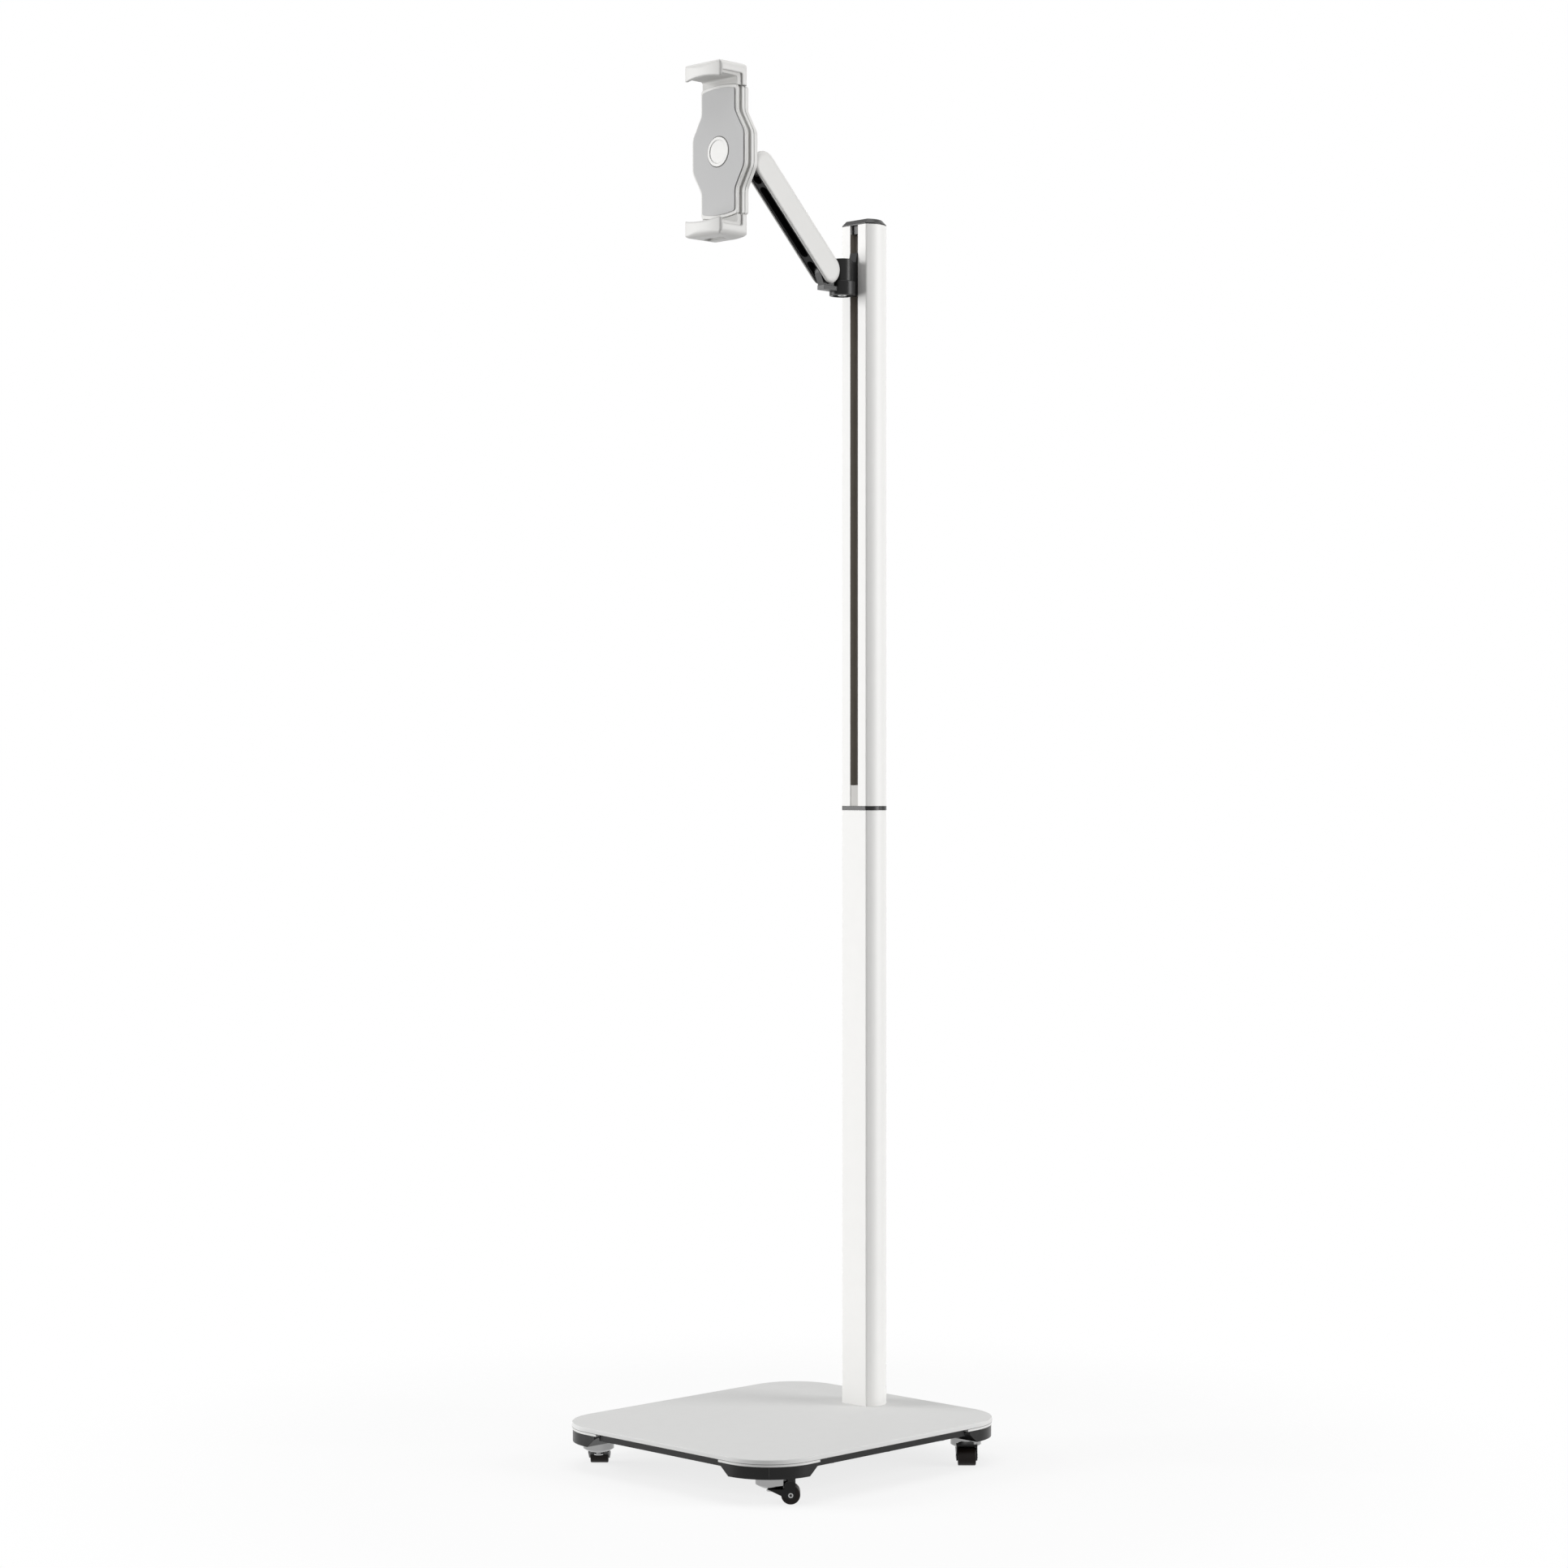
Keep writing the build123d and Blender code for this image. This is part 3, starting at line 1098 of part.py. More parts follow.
# Front rim with a shallow seat for the pad and a hole for the button
with BuildPart() as front_bezel:
    with BuildSketch(clamp_plane(GUIDE_DEPTH)):
        add(clamp_outline(0, BODY_HALF, PAD_ARCH))
    extrude(amount=BEZEL_THICK)
    fillet(front_bezel.faces().sort_by(Axis.Y)[0].edges(), MID_EDGE)
    with BuildSketch(clamp_plane(GUIDE_DEPTH)):
        Circle(BUTTON_HOLE)
    extrude(amount=BEZEL_THICK, mode=Mode.SUBTRACT)
finish(front_bezel, "front_bezel")

pad_half = BODY_HALF - PAD_END_GAP
with BuildPart() as front_pad:
    with BuildSketch(clamp_plane(BEZEL_DEPTH)):
        add(clamp_outline(PAD_MARGIN, pad_half, PAD_ARCH))
        Circle(BUTTON_HOLE, mode=Mode.SUBTRACT)
    extrude(amount=PAD_DEPTH - BEZEL_DEPTH)
finish(front_pad, "front_pad")

# Button: dished cap on a stem
with BuildPart() as release_button:
    with BuildSketch(clamp_plane(button_back)):
        Circle(BUTTON_RADIUS)
    extrude(amount=BUTTON_THICK)
    fillet(release_button.faces().sort_by(Axis.Y)[0].edges(), BUTTON_EDGE)
    with BuildSketch(clamp_plane(button_front)):
        Circle(BUTTON_RADIUS - BUTTON_RING - BUTTON_DISH)
    with BuildSketch(clamp_plane(button_front - BUTTON_DISH)):
        Circle(BUTTON_RADIUS - BUTTON_RING - 2 * BUTTON_DISH)
    loft(mode=Mode.SUBTRACT)
    with BuildSketch(clamp_plane(button_back)):
        Circle(STEM_RADIUS)
    extrude(amount=-STEM_REACH)
finish(release_button, "release_button")

# Jaws: hooked bodies with a domed crown, a bowed lip and a flat sliding tongue
JAW_PLANE = Plane(origin=(0, 0, CLAMP_Z), x_dir=(0, -1, 0), z_dir=(-1, 0, 0))
clamp_level = Plane.XY.offset(CLAMP_Z)
with BuildPart() as upper_jaw:
    with BuildSketch(JAW_PLANE) as jaw_side:
        Polygon(
            (JAW_BACK, JAW_LOW),
            (MID_DEPTH, JAW_LOW),
            (MID_DEPTH, JAW_INNER),
            (JAW_FRONT - LIP_THICK, JAW_INNER),
            (JAW_FRONT - LIP_THICK, LIP_LOW),
            (JAW_FRONT, LIP_LOW),
            (JAW_FRONT, JAW_TOP - JAW_DROP),
            (JAW_BACK, JAW_TOP),
            align=None,
        )
        fillet(jaw_side.vertices().group_by(Axis.Y)[-1], JAW_BACK_ROUND)
        crown_front = jaw_side.vertices().sort_by_distance(
            (JAW_FRONT, JAW_TOP - JAW_DROP, 0)
        )
        fillet(crown_front[0], JAW_FRONT_ROUND)
        fillet(jaw_side.vertices().group_by(Axis.Y)[2], JAW_INNER_ROUND)
    extrude(amount=JAW_WIDTH / 2, both=True)
    # Domed front view with round shoulders and an arched lower edge of the lip
    with BuildSketch(clamp_plane(0)) as jaw_face:
        with BuildLine():
            ThreePointArc(
                (-JAW_WIDTH / 2, JAW_SIDE_TOP),
                (0, JAW_TOP),
                (JAW_WIDTH / 2, JAW_SIDE_TOP),
            )
            Polyline(
                (JAW_WIDTH / 2, JAW_SIDE_TOP),
                (JAW_WIDTH / 2, JAW_LOW),
                (-JAW_WIDTH / 2, JAW_LOW),
                (-JAW_WIDTH / 2, JAW_SIDE_TOP),
            )
        make_face()
        fillet(jaw_face.vertices().group_by(Axis.Y)[-1], JAW_SHOULDER)
    extrude(amount=JAW_FRONT + OVERRUN, mode=Mode.INTERSECT)
    with BuildSketch(Plane.XY) as jaw_plan:
        with BuildLine():
            ThreePointArc(
                (-JAW_WIDTH / 2, LIP_BOW - JAW_FRONT),
                (0, -JAW_FRONT),
                (JAW_WIDTH / 2, LIP_BOW - JAW_FRONT),
            )
            Polyline(
                (JAW_WIDTH / 2, LIP_BOW - JAW_FRONT),
                (JAW_WIDTH / 2, -JAW_BACK),
                (-JAW_WIDTH / 2, -JAW_BACK),
                (-JAW_WIDTH / 2, LIP_BOW - JAW_FRONT),
            )
        make_face()
        fillet(jaw_plan.vertices(), JAW_CORNER)
    extrude(amount=CLAMP_Z + JAW_TOP + OVERRUN, mode=Mode.INTERSECT)
    with BuildSketch(clamp_plane(JAW_FRONT - LIP_THICK - LIP_BOW)):
        with Locations((0, LIP_LOW - OVERRUN)):
            Rectangle(
                JAW_WIDTH + 2 * OVERRUN,
                JAW_INNER - LIP_LOW,
                align=(Align.CENTER, Align.MIN),
            )
        with BuildSketch(mode=Mode.PRIVATE) as lip:
            with BuildLine():
                ThreePointArc(
                    (-JAW_WIDTH / 2, LIP_LOW),
                    (0, LIP_LOW + LIP_ARCH),
                    (JAW_WIDTH / 2, LIP_LOW),
                )
                Polyline(
                    (JAW_WIDTH / 2, LIP_LOW),
                    (JAW_WIDTH / 2, JAW_TOP),
                    (-JAW_WIDTH / 2, JAW_TOP),
                    (-JAW_WIDTH / 2, LIP_LOW),
                )
            make_face()
            fillet(lip.vertices().group_by(Axis.Y)[0], LIP_CORNER)
        add(lip.sketch, mode=Mode.SUBTRACT)
    extrude(amount=JAW_FRONT, mode=Mode.SUBTRACT)
    # Tongue, and an oblong hollow in the outer face
    with BuildSketch(clamp_plane(TONGUE_BACK)):
        with Locations((0, TONGUE_END)):
            Rectangle(
                TONGUE_WIDTH,
                JAW_INNER + OVERRUN - TONGUE_END,
                align=(Align.CENTER, Align.MIN),
            )
    extrude(amount=TONGUE_THICK)
    with BuildSketch(clamp_plane(MID_DEPTH)):
        with Locations((0, JAW_LOW)):
            Rectangle(
                TONGUE_WIDTH,
                JAW_INNER + OVERRUN - JAW_LOW,
                align=(Align.CENTER, Align.MIN),
            )
    extrude(amount=TONGUE_DEPTH - MID_DEPTH)
    with BuildSketch(clamp_level.offset(JAW_TOP)):
        with Locations((0, -(JAW_BACK + JAW_FRONT) / 2)):
            SlotOverall(JAW_SLOT_LENGTH, JAW_SLOT_WIDTH)
    extrude(amount=-JAW_SLOT_DEPTH, mode=Mode.SUBTRACT)
finish(upper_jaw, "upper_jaw")

# Soft lining under the crown and down the front of the leg
with BuildPart() as upper_jaw_liner:
    with BuildSketch(JAW_PLANE) as liner_side:
        Polygon(
            (MID_DEPTH, JAW_LOW),
            (JAW_LEG_FRONT + LINER_PAD_SIDE, JAW_LOW),
            (JAW_LEG_FRONT + LINER_PAD_SIDE, JAW_INNER - LINER_PAD_TOP),
            (JAW_FRONT - LIP_THICK, JAW_INNER - LINER_PAD_TOP),
            (JAW_FRONT - LIP_THICK, JAW_INNER),
            (MID_DEPTH, JAW_INNER),
            align=None,
        )
        inner = liner_side.vertices().sort_by_distance(
            (JAW_LEG_FRONT + LINER_PAD_SIDE, JAW_INNER - LINER_PAD_TOP, 0)
        )
        fillet(inner[0], LINER_PAD_ROUND)
        fillet(liner_side.vertices().group_by(Axis.Y)[-1], JAW_INNER_ROUND)
    extrude(amount=LINER_PAD_WIDTH / 2, both=True)
    # Lower edge that follows the arched end of the rim
    with BuildSketch(clamp_plane(GUIDE_DEPTH - AIR_GAP)):
        add(clamp_outline(-AIR_GAP, BODY_HALF + AIR_GAP, PAD_ARCH))
    extrude(amount=2 * BEZEL_THICK, mode=Mode.SUBTRACT)
    # Room for the root of the tongue
    with BuildSketch(clamp_plane(MID_DEPTH)):
        with Locations((0, JAW_LOW)):
            Rectangle(
                TONGUE_WIDTH, JAW_INNER - JAW_LOW, align=(Align.CENTER, Align.MIN)
            )
    extrude(amount=TONGUE_DEPTH - MID_DEPTH, mode=Mode.SUBTRACT)
finish(upper_jaw_liner, "upper_jaw_liner")

with BuildPart() as lower_jaw:
    mirror(upper_jaw.part, about=clamp_level)
finish(lower_jaw, "lower_jaw")

with BuildPart() as lower_jaw_liner:
    mirror(upper_jaw_liner.part, about=clamp_level)
finish(lower_jaw_liner, "lower_jaw_liner")

# Two tension springs between the ends of the tongues
with BuildPart() as jaw_springs:
    with BuildSketch(clamp_level.offset(-TONGUE_END)):
        for side in (-1, 1):
            with Locations((side * JAW_SPRING_SIDE, -TONGUE_DEPTH + TONGUE_THICK / 2)):
                Circle(JAW_SPRING_RADIUS)
    extrude(amount=2 * TONGUE_END)
finish(jaw_springs, "jaw_springs")

# Screws through the back shell into the middle one
with BuildPart() as clamp_screws:
    with BuildSketch(clamp_plane(BODY_BACK)):
        with clamp_screw_grid:
            Circle(CLAMP_SCREW_HEAD)
    extrude(amount=CLAMP_SCREW_HEAD_THICK)
    with BuildSketch(clamp_plane(BODY_BACK)):
        with clamp_screw_grid:
            Circle(CLAMP_SCREW_RADIUS)
    extrude(amount=CLAMP_SCREW_HEAD_THICK + CLAMP_SCREW_GRIP)
finish(clamp_screws, "clamp_screws")
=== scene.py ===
import json
import math

import bpy
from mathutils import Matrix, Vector


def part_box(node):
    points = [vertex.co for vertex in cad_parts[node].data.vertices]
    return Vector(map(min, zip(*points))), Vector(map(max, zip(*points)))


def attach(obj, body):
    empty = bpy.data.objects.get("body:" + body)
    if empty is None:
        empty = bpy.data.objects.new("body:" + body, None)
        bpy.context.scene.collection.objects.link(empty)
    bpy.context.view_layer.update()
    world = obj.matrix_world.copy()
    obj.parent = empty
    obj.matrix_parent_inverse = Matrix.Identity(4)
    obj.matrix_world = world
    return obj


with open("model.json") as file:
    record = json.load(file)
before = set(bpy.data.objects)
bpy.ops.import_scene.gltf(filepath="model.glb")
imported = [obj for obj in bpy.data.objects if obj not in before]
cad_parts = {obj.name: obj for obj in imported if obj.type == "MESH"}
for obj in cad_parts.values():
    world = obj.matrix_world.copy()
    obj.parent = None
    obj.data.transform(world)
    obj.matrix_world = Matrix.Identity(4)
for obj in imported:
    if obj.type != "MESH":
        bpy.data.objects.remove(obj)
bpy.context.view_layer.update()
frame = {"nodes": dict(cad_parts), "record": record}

# Lengths are in metres, angles in degrees where they are written
MM = 0.001
NODES = frame["nodes"]
scene = bpy.context.scene

# Fine lines: radius of each cord, its sides, and when its way counts as upright. The pad's and
# the plate's lines are painted shade in creases
PAD_SHADE_LINE = 0.30 * MM
SHELL_LINE = 0.22 * MM
PLATE_SHADE_LINE = 0.25 * MM
MOULD_LINE = 0.15 * MM
LINE_SIDES = 6
UPRIGHT = 0.999

# Outlines: vertices closer than WELD are one, and a face within LEVEL_SLACK of a level lies on it
WELD = 0.02 * MM
LEVEL_SLACK = 5 * WELD

# Thin sheets on the walls of the column's slot, painted shade: the slot's half width, how far in
# from the front, and how thick
SLOT_HALF = 6.0 * MM
SHADE_SHEET_SET = 0.5 * MM
SHADE_SHEET_THICK = 0.15 * MM

# Pin ends, dark discs of painted shade for the dimples: radius of each ring and its height above
# the pin, from the centre outwards
DISH_SIDES = 20
DISH_RINGS = [(0.5 * MM, 0.04 * MM), (1.1 * MM, 0.08 * MM), (1.3 * MM, 0.02 * MM)]

# Corners of the base as signs of x and y, and where each caster points at rest
CORNERS = {
    "front_left": (-1, -1),
    "front_right": (1, -1),
    "rear_left": (-1, 1),
    "rear_right": (1, 1),
}
HEADINGS = {
    "front_left": math.radians(135),
    "front_right": math.radians(45),
    "rear_left": math.radians(225),
    "rear_right": math.radians(315),
}

# Finishes: range that noise is stretched from, its detail, and how finely roughness varies
NOISE_LOW = 0.3
NOISE_HIGH = 0.7
TONE_DETAIL = 3.0
ROUGH_DETAIL = 2.0
BUMP_DETAIL = 4.0
ROUGH_FINER = 4.0
ROUGH_SPREAD = 0.04
BUMP_DEPTH = 0.2 * MM
EDGE_SAMPLES = 4

# Floor and surround: colours, strengths, and where the floor fades out
WHITE = (1.0, 1.0, 1.0, 1.0)
FLOOR_LIT = (0.6, 0.6, 0.6, 1.0)
FLOOR_SEEN = (0.95, 0.95, 0.95, 1.0)
FLOOR_ROUGH = 0.9
FLOOR_GLOW = 0.8
FLOOR_REACH = 4.0
FADE_START = 0.45
FADE_END = 0.95
SKY_LIGHT = 0.23

# Lamps: place, point looked at, width and height, power in watts
LAMPS = {
    "key": ((-2.75, -2.6, 1.1), (0, 0.1, 0.75), (2.0, 3.4), 148.0),
    "side": ((3.2, 1.95, 1.1), (0, 0.1, 0.75), (1.8, 3.2), 120.0),
    "top": ((0.3, -0.3, 3.6), (0, 0, 0.6), (2.6, 2.6), 44.0),
}

# Camera: place, level way that it looks, lens and sensor in millimetres, far limit
CAMERA_PLACE = (2.6389, -2.637, 0.7504)
CAMERA_WAY = (-1, 1, 0)
CAMERA_LENS = 77.59
CAMERA_SENSOR = 36.0
CAMERA_FAR = 30.0


def link(tree, source, target):
    """Join two sockets of a node tree."""
    tree.links.new(source, target)


def grain(tree, scale, detail):
    """Noise in object space."""
    coords = tree.nodes.new("ShaderNodeTexCoord")
    noise = tree.nodes.new("ShaderNodeTexNoise")
    noise.inputs["Scale"].default_value = scale
    noise.inputs["Detail"].default_value = detail
    link(tree, coords.outputs["Object"], noise.inputs["Vector"])
    return noise.outputs["Fac"]


def uneven(tree, scale, detail, low, high):
    """Noise stretched between two values."""
    spread = tree.nodes.new("ShaderNodeMapRange")
    spread.inputs["From Min"].default_value = NOISE_LOW
    spread.inputs["From Max"].default_value = NOISE_HIGH
    spread.inputs["To Min"].default_value = low
    spread.inputs["To Max"].default_value = high
    link(tree, grain(tree, scale, detail), spread.inputs["Value"])
    return spread.outputs["Result"]


def finish_material(
    name,
    colour,
    rough,
    metallic=0.0,
    spec=0.5,
    tone=0.03,
    scale=60.0,
    bump=0.0,
    bump_scale=900.0,
    round_edge=0.0,
):
    """Procedural finish: slightly uneven colour and roughness, fine bump, soft edges."""
    made = bpy.data.materials.new(name)
    made.use_nodes = True
    tree = made.node_tree
    shader = tree.nodes["Principled BSDF"]
    shader.inputs["Metallic"].default_value = metallic
    shader.inputs["Specular IOR Level"].default_value = spec

    tint = tree.nodes.new("ShaderNodeMix")
    tint.data_type = "RGBA"
    tint.blend_type = "MULTIPLY"
    tint.inputs["Factor"].default_value = 1.0
    tint.inputs["A"].default_value = (*colour, 1.0)
    link(tree, uneven(tree, scale, TONE_DETAIL, 1.0 - tone, 1.0 + tone), tint.inputs["B"])
    link(tree, tint.outputs["Result"], shader.inputs["Base Color"])

    smoothest = rough * (1.0 - ROUGH_SPREAD)
    roughest = min(1.0, rough * (1.0 + ROUGH_SPREAD))
    matt = uneven(tree, scale * ROUGH_FINER, ROUGH_DETAIL, smoothest, roughest)
    link(tree, matt, shader.inputs["Roughness"])

    normal = None
    if round_edge > 0:
        soft = tree.nodes.new("ShaderNodeBevel")
        soft.samples = EDGE_SAMPLES
        soft.inputs["Radius"].default_value = round_edge
        normal = soft.outputs["Normal"]
    if bump > 0:
        relief = tree.nodes.new("ShaderNodeBump")
        relief.inputs["Strength"].default_value = bump
        relief.inputs["Distance"].default_value = BUMP_DEPTH
        link(tree, grain(tree, bump_scale, BUMP_DETAIL), relief.inputs["Height"])
        if normal is not None:
            link(tree, normal, relief.inputs["Normal"])
        normal = relief.outputs["Normal"]
    if normal is not None:
        link(tree, normal, shader.inputs["Normal"])
    return made


FINISHES = {
    "base_pale": dict(
        colour=(0.69, 0.69, 0.683),
        rough=0.62,
        spec=0.3,
        bump=0.1,
        tone=0.006,
        bump_scale=1500.0,
    ),
    "tray_dark": dict(
        colour=(0.006, 0.006, 0.006), rough=0.3, spec=0.24, bump=0.08, round_edge=0.4 * MM
    ),
    "layer_pale": dict(colour=(0.70, 0.70, 0.69), rough=0.45, tone=0.01, round_edge=0.3 * MM),
    "bowl_chrome": dict(colour=(0.34, 0.34, 0.34), rough=0.1, metallic=1.0, tone=0.01),
    "fork_black": dict(
        colour=(0.006, 0.006, 0.006), rough=0.3, spec=0.2, bump=0.12, round_edge=0.4 * MM
    ),
    "wheel_dark": dict(
        colour=(0.009, 0.006, 0.005), rough=0.42, spec=0.18, bump=0.2, round_edge=0.3 * MM
    ),
    "screw_steel": dict(
        colour=(0.40, 0.40, 0.40), rough=0.25, metallic=1.0, tone=0.03, round_edge=0.3 * MM
    ),
    "column_white": dict(
        colour=(0.79, 0.785, 0.77), rough=0.42, tone=0.006, round_edge=0.3 * MM
    ),
    "dark_trim": dict(
        colour=(0.008, 0.008, 0.008), rough=0.28, spec=0.3, bump=0.08, round_edge=0.4 * MM
    ),
    "liner_dark": dict(colour=(0.30, 0.275, 0.25), rough=0.5, spec=0.4, bump=0.1),
    "plug_pale": dict(colour=(0.50, 0.49, 0.47), rough=0.55, round_edge=0.3 * MM),
    "carriage_black": dict(
        colour=(0.008, 0.008, 0.008), rough=0.32, spec=0.25, bump=0.12, round_edge=0.5 * MM
    ),
    "bracket_grey": dict(
        colour=(0.018, 0.018, 0.018), rough=0.36, spec=0.35, bump=0.12, round_edge=0.6 * MM
    ),
    "arm_white": dict(colour=(0.63, 0.625, 0.61), rough=0.4, tone=0.006, round_edge=4.5 * MM),
    "arm_black": dict(colour=(0.006, 0.006, 0.006), rough=0.4, spec=0.2, round_edge=0.5 * MM),
    "clamp_white": dict(colour=(0.63, 0.625, 0.61), rough=0.4, tone=0.006, round_edge=0.6 * MM),
    "guide_grey": dict(colour=(0.58, 0.575, 0.56), rough=0.55, bump=0.1, round_edge=0.4 * MM),
    "pad_grey": dict(
        colour=(0.47, 0.47, 0.47),
        rough=0.62,
        bump=0.04,
        tone=0.003,
        scale=300.0,
        round_edge=0.3 * MM,
    ),
    "button_white": dict(
        colour=(0.66, 0.655, 0.64), rough=0.35, tone=0.008, round_edge=0.6 * MM
    ),
    "core_metal": dict(colour=(0.55, 0.55, 0.55), rough=0.45, metallic=1.0, tone=0.03),
}

# Finishes of this script's own: the jaws' rounder edges, and the trim with the slots it counts
# to. The slot's walls and the dark seam finish carry painted shade
FINISHES["jaw_white"] = dict(FINISHES["clamp_white"], round_edge=3.0 * MM)
# Painted shade: a darker brown-grey for the thin sheets on the slot's walls, where the walls lie
# in shade
FINISHES["slot_painted_shade"] = dict(colour=(0.27, 0.25, 0.22), rough=0.5)
# Dark finish for the mould lines, and painted shade for the lines in creases and the discs in the
# pin ends
FINISHES["seam_and_painted_shade"] = dict(colour=(0.05, 0.05, 0.05), rough=0.7)
FINISHES["seam_grey"] = dict(colour=(0.30, 0.30, 0.29), rough=0.7)
JAWS = ("upper_jaw", "lower_jaw")

MATERIALS = {name: finish_material(name, **look) for name, look in FINISHES.items()}

# Finish of every CAD node, from the record
for part in frame["record"]["subparts"]:
    node = NODES[part["node"]]
    look = part["material_slot"]
    if part["node"] in JAWS:
        look = "jaw_white"
    node.data.materials.clear()
    node.data.materials.append(MATERIALS[look])


def mesh_object(name, points, faces, material, body, smooth=True):
    """Mesh piece that rides on a body."""
    mesh = bpy.data.meshes.new(name)
    mesh.from_pydata(points, [], faces)
    mesh.update()
    if smooth:
        mesh.polygons.foreach_set("use_smooth", [True] * len(mesh.polygons))
    mesh.materials.append(MATERIALS[material])
    made = bpy.data.objects.new(name, mesh)
    scene.collection.objects.link(made)
    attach(made, body)


def length_round(loop):
    """Length of a closed loop of points."""
    return sum((after - here).length for here, after in zip(loop, loop[1:] + loop[:1]))


def rim_loops(node, axis, level):
    """Closed outlines of a node's flat face at a level along an axis, longest first."""
    mesh = NODES[node].data
    places = {}
    ids = []
    for vertex in mesh.vertices:
        key = tuple(round(c / WELD) for c in vertex.co)
        ids.append(places.setdefault(key, len(places)))
    spots = {}
    for vertex, number in zip(mesh.vertices, ids):
        spots.setdefault(number, vertex.co.copy())

    # An edge that only one face on the level uses belongs to an outline
    uses = {}
    for face in mesh.polygons:
        corners = [ids[v] for v in face.vertices]
        if all(abs(spots[c][axis] - level) < LEVEL_SLACK for c in corners):
            for start, end in zip(corners, corners[1:] + corners[:1]):
                uses.setdefault(frozenset((start, end)), []).append((start, end))
    after = {}
    for pair in uses.values():
        if len(pair) == 1:
            start, end = pair[0]
            after[start] = end

    loops = []
    while after:
        first, current = after.popitem()
        loop = [first, current]
        while current in after:
            current = after.pop(current)
            if current != loop[0]:
                loop.append(current)
        loops.append([spots[i] for i in loop])
    return sorted(loops, key=length_round, reverse=True)


def ring(centre, radius, side, up, sides):
    """Points of a circle that starts at side and turns towards up."""
    points = []
    for k in range(sides):
        turn = 2 * math.pi * k / sides
        points.append(centre + radius * (math.cos(turn) * side + math.sin(turn) * up))
    return points


def wall_faces(rings, sides, closed=False):
    """Faces between rings of points that follow one another."""
    faces = []
    for i in range(rings if closed else rings - 1):
        here = i * sides
        after = (i + 1) % rings * sides
        for k in range(sides):
            turned = (k + 1) % sides
            faces.append((here + k, here + turned, after + turned, after + k))
    return faces


def tube(name, loop, radius, material, body, closed=True):
    """Thin round cord of material along a line of points."""
    points = []
    count = len(loop)
    for i, here in enumerate(loop):
        before = loop[i - 1] if closed or i > 0 else here
        behind = loop[(i + 1) % count] if closed or i < count - 1 else here
        along = (behind - before).normalized()
        side = along.orthogonal().normalized()
        if abs(along.z) < UPRIGHT:
            side = along.cross(Vector((0, 0, 1))).normalized()
        up = along.cross(side).normalized()
        points += ring(here, radius, side, up, LINE_SIDES)
    faces = wall_faces(count, LINE_SIDES, closed)
    if not closed:
        faces.append(tuple(range(LINE_SIDES))[::-1])
        faces.append(tuple(range((count - 1) * LINE_SIDES, count * LINE_SIDES)))
    mesh_object(name, points, faces, material, body)


def strip(name, profile, low, high, material, body):
    """Upright strip with a closed outline of (x, y) points."""
    count = len(profile)
    points = [(x, y, z) for z in (low, high) for x, y in profile]
    faces = wall_faces(2, count)
    faces += [tuple(range(count))[::-1], tuple(range(count, 2 * count))]
    mesh_object(name, points, faces, material, body, smooth=False)


# Fine dark line round the pad, in the corner between its edge and the rim: painted shade in that
# crease
rim_low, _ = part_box("front_bezel")
tube("pad_shade_line", rim_loops("front_bezel", 1, rim_low[1])[1], PAD_SHADE_LINE, "seam_and_painted_shade", "clamp")

# Joint lines round the clamp's shells
for shell in ("back_shell", "mid_shell"):
    shell_low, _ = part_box(shell)
    outline = rim_loops(shell, 1, shell_low[1])[0]
    tube(f"{shell}_line", outline, SHELL_LINE, "seam_grey", "clamp")

# Fine dark line round the plate's lower edge: painted shade in the crease under the plate
plate_low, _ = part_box("base_plate")
outline = rim_loops("base_plate", 2, plate_low[2])[0]
tube("plate_shade_line", outline, PLATE_SHADE_LINE, "seam_and_painted_shade", "base")

# Moulding line down each corner housing, at its outermost vertex
for corner, (toward_x, toward_y) in CORNERS.items():
    node = f"corner_housing_{corner}"
    housing_low, housing_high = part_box(node)
    places = [vertex.co for vertex in NODES[node].data.vertices]
    spot = max(places, key=lambda place: place.x * toward_x + place.y * toward_y)
    ends = [Vector((spot.x, spot.y, z)) for z in (housing_low[2], housing_high[2])]
    tube(f"mould_line_{corner}", ends, MOULD_LINE, "seam_and_painted_shade", "base", closed=False)

# Small dark disc, a little hollow in the middle, on both ends of each wheel's pin: painted shade
# for the dimple there
for corner, heading in HEADINGS.items():
    across = Vector((-math.sin(heading), math.cos(heading), 0))
    level = Vector((0, 0, 1))
    places = [vertex.co for vertex in NODES[f"caster_axle_{corner}"].data.vertices]
    middle = sum(places, Vector()) / len(places)
    for end, way in (("a", across), ("b", -across)):
        pin_end = max((place - middle).dot(way) for place in places)
        points = []
        for radius, lift in DISH_RINGS:
            centre = middle + (pin_end + lift) * way
            points += ring(centre, radius, way.cross(level), level, DISH_SIDES)
        faces = [tuple(range(DISH_SIDES))] + wall_faces(len(DISH_RINGS), DISH_SIDES)
        body = f"caster_{corner}"
        mesh_object(f"pin_shade_disc_{corner}_{end}", points, faces, "seam_and_painted_shade", body)

# Thin brown-grey sheets along both walls of the column's slot: painted shade on the walls
tube_low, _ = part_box("upper_tube")
liner_low, liner_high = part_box("track_liner")
for wall, way in (("left", -1), ("right", 1)):
    shade_sheet = [
        (way * SLOT_HALF, tube_low[1] + SHADE_SHEET_SET),
        (way * (SLOT_HALF - SHADE_SHEET_THICK), tube_low[1] + SHADE_SHEET_SET + SHADE_SHEET_THICK),
        (way * (SLOT_HALF - SHADE_SHEET_THICK), liner_low[1]),
        (way * SLOT_HALF, liner_low[1]),
    ]
    strip(f"slot_shade_sheet_{wall}", shade_sheet, liner_low[2], liner_high[2], "slot_painted_shade", "base")


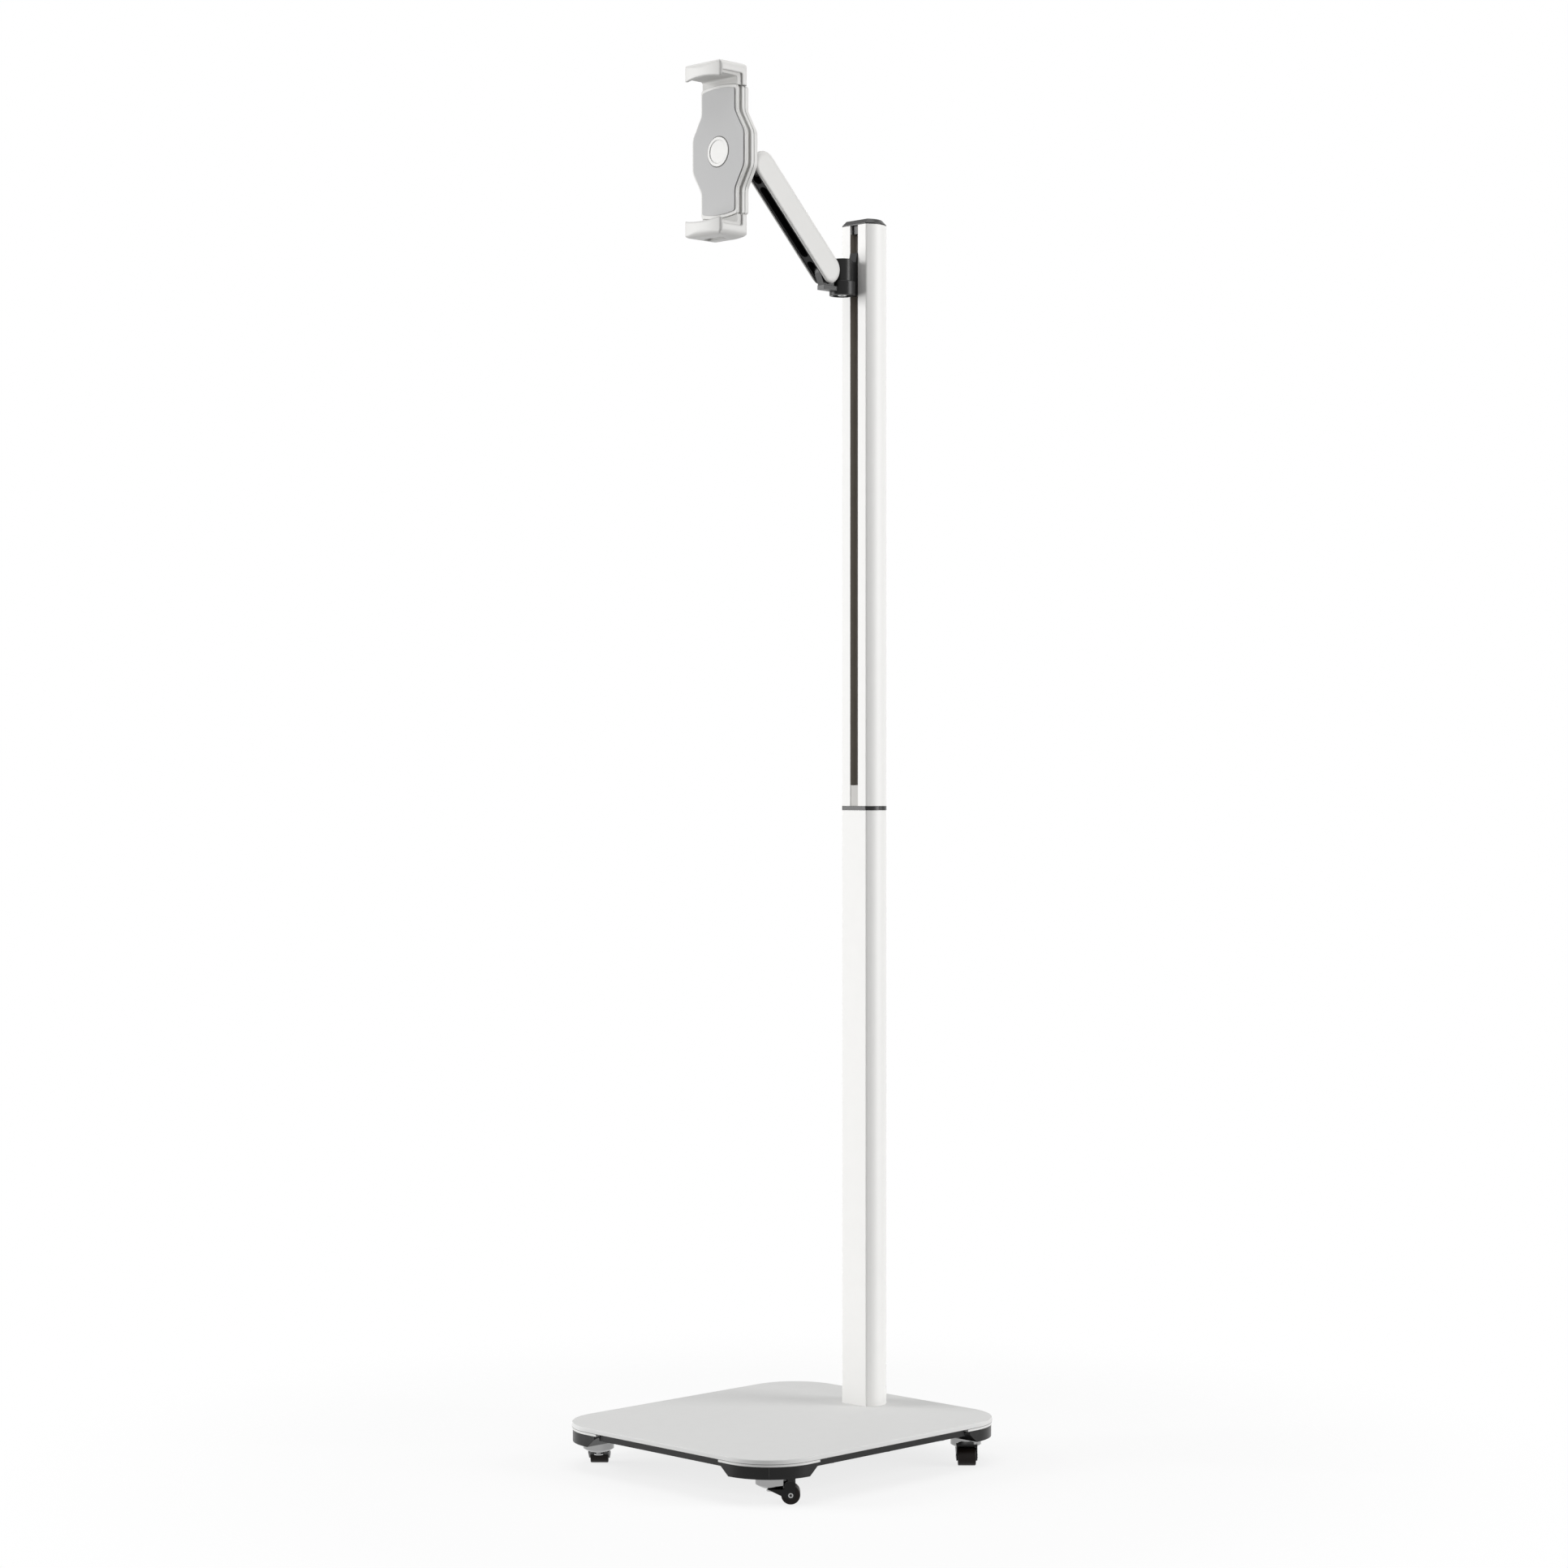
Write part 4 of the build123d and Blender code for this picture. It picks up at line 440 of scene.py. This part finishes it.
def seen_directly(tree):
    """One for camera, glossy and transmitted rays, else zero."""
    paths = tree.nodes.new("ShaderNodeLightPath")
    total = paths.outputs["Is Camera Ray"]
    for kind in ("Is Transmission Ray", "Is Glossy Ray"):
        either = tree.nodes.new("ShaderNodeMath")
        either.operation = "MAXIMUM"
        link(tree, total, either.inputs[0])
        link(tree, paths.outputs[kind], either.inputs[1])
        total = either.outputs["Value"]
    return total


def mixed(tree, first, second):
    """Mix of two shaders, whose share is still to be set."""
    mix = tree.nodes.new("ShaderNodeMixShader")
    link(tree, first, mix.inputs[1])
    link(tree, second, mix.inputs[2])
    return mix


def floor_material():
    """Matt for light that bounces, nearly white where it is seen, and clear far out."""
    made = bpy.data.materials.new("floor_look")
    made.use_nodes = True
    tree = made.node_tree
    bounce = tree.nodes["Principled BSDF"]
    bounce.inputs["Base Color"].default_value = FLOOR_LIT
    bounce.inputs["Roughness"].default_value = FLOOR_ROUGH
    bounce.inputs["Specular IOR Level"].default_value = 0.0
    paper = tree.nodes.new("ShaderNodeBsdfDiffuse")
    paper.inputs["Color"].default_value = FLOOR_SEEN
    glow = tree.nodes.new("ShaderNodeEmission")
    glow.inputs["Color"].default_value = WHITE
    glow.inputs["Strength"].default_value = 1.0
    lit = mixed(tree, paper.outputs["BSDF"], glow.outputs["Emission"])
    lit.inputs["Fac"].default_value = FLOOR_GLOW
    seen = mixed(tree, bounce.outputs["BSDF"], lit.outputs["Shader"])
    link(tree, seen_directly(tree), seen.inputs["Fac"])

    coords = tree.nodes.new("ShaderNodeTexCoord")
    length = tree.nodes.new("ShaderNodeVectorMath")
    length.operation = "LENGTH"
    link(tree, coords.outputs["Object"], length.inputs[0])
    fade = tree.nodes.new("ShaderNodeMapRange")
    fade.interpolation_type = "SMOOTHSTEP"
    fade.inputs["From Min"].default_value = FADE_START
    fade.inputs["From Max"].default_value = FADE_END
    link(tree, length.outputs["Value"], fade.inputs["Value"])
    clear = tree.nodes.new("ShaderNodeBsdfTransparent")
    faded = mixed(tree, seen.outputs["Shader"], clear.outputs["BSDF"])
    link(tree, fade.outputs["Result"], faded.inputs["Fac"])
    link(tree, faded.outputs["Shader"], tree.nodes["Material Output"].inputs["Surface"])
    return made


# Floor, faded into the white surround
floor_mesh = bpy.data.meshes.new("floor")
floor_mesh.from_pydata(
    [
        (-FLOOR_REACH, -FLOOR_REACH, 0),
        (FLOOR_REACH, -FLOOR_REACH, 0),
        (FLOOR_REACH, FLOOR_REACH, 0),
        (-FLOOR_REACH, FLOOR_REACH, 0),
    ],
    [],
    [(0, 1, 2, 3)],
)
floor_mesh.materials.append(floor_material())
floor = bpy.data.objects.new("floor", floor_mesh)
scene.collection.objects.link(floor)

# World: white for what the camera sees, softer as light
world = bpy.data.worlds.new("surround")
scene.world = world
world.use_nodes = True
world_tree = world.node_tree
sky = world_tree.nodes["Background"]
sky.inputs["Color"].default_value = WHITE
sky.inputs["Strength"].default_value = SKY_LIGHT
white = world_tree.nodes.new("ShaderNodeBackground")
white.inputs["Color"].default_value = WHITE
white.inputs["Strength"].default_value = 1.0
surround = mixed(world_tree, sky.outputs["Background"], white.outputs["Background"])
link(world_tree, seen_directly(world_tree), surround.inputs["Fac"])
link(world_tree, surround.outputs["Shader"], world_tree.nodes["World Output"].inputs["Surface"])


def lamp(name, place, aim, size, power):
    """Soft rectangular lamp that looks at a point."""
    data = bpy.data.lights.new(name, "AREA")
    data.shape = "RECTANGLE"
    data.size, data.size_y = size
    data.energy = power
    made = bpy.data.objects.new(name, data)
    scene.collection.objects.link(made)
    made.location = place
    made.rotation_mode = "QUATERNION"
    made.rotation_quaternion = (Vector(aim) - Vector(place)).to_track_quat("-Z", "Y")
    made.visible_camera = False


for lamp_name, (place, aim, size, power) in LAMPS.items():
    lamp(lamp_name, place, aim, size, power)

# Camera: level, from the front right at 45 degrees
camera_data = bpy.data.cameras.new("camera")
camera_data.lens = CAMERA_LENS
camera_data.sensor_width = CAMERA_SENSOR
camera_data.clip_end = CAMERA_FAR
camera = bpy.data.objects.new("camera", camera_data)
scene.collection.objects.link(camera)
camera.location = CAMERA_PLACE
camera.rotation_mode = "QUATERNION"
camera.rotation_quaternion = Vector(CAMERA_WAY).to_track_quat("-Z", "Y")
scene.camera = camera

scene.view_settings.view_transform = "Standard"
scene.view_settings.look = "None"
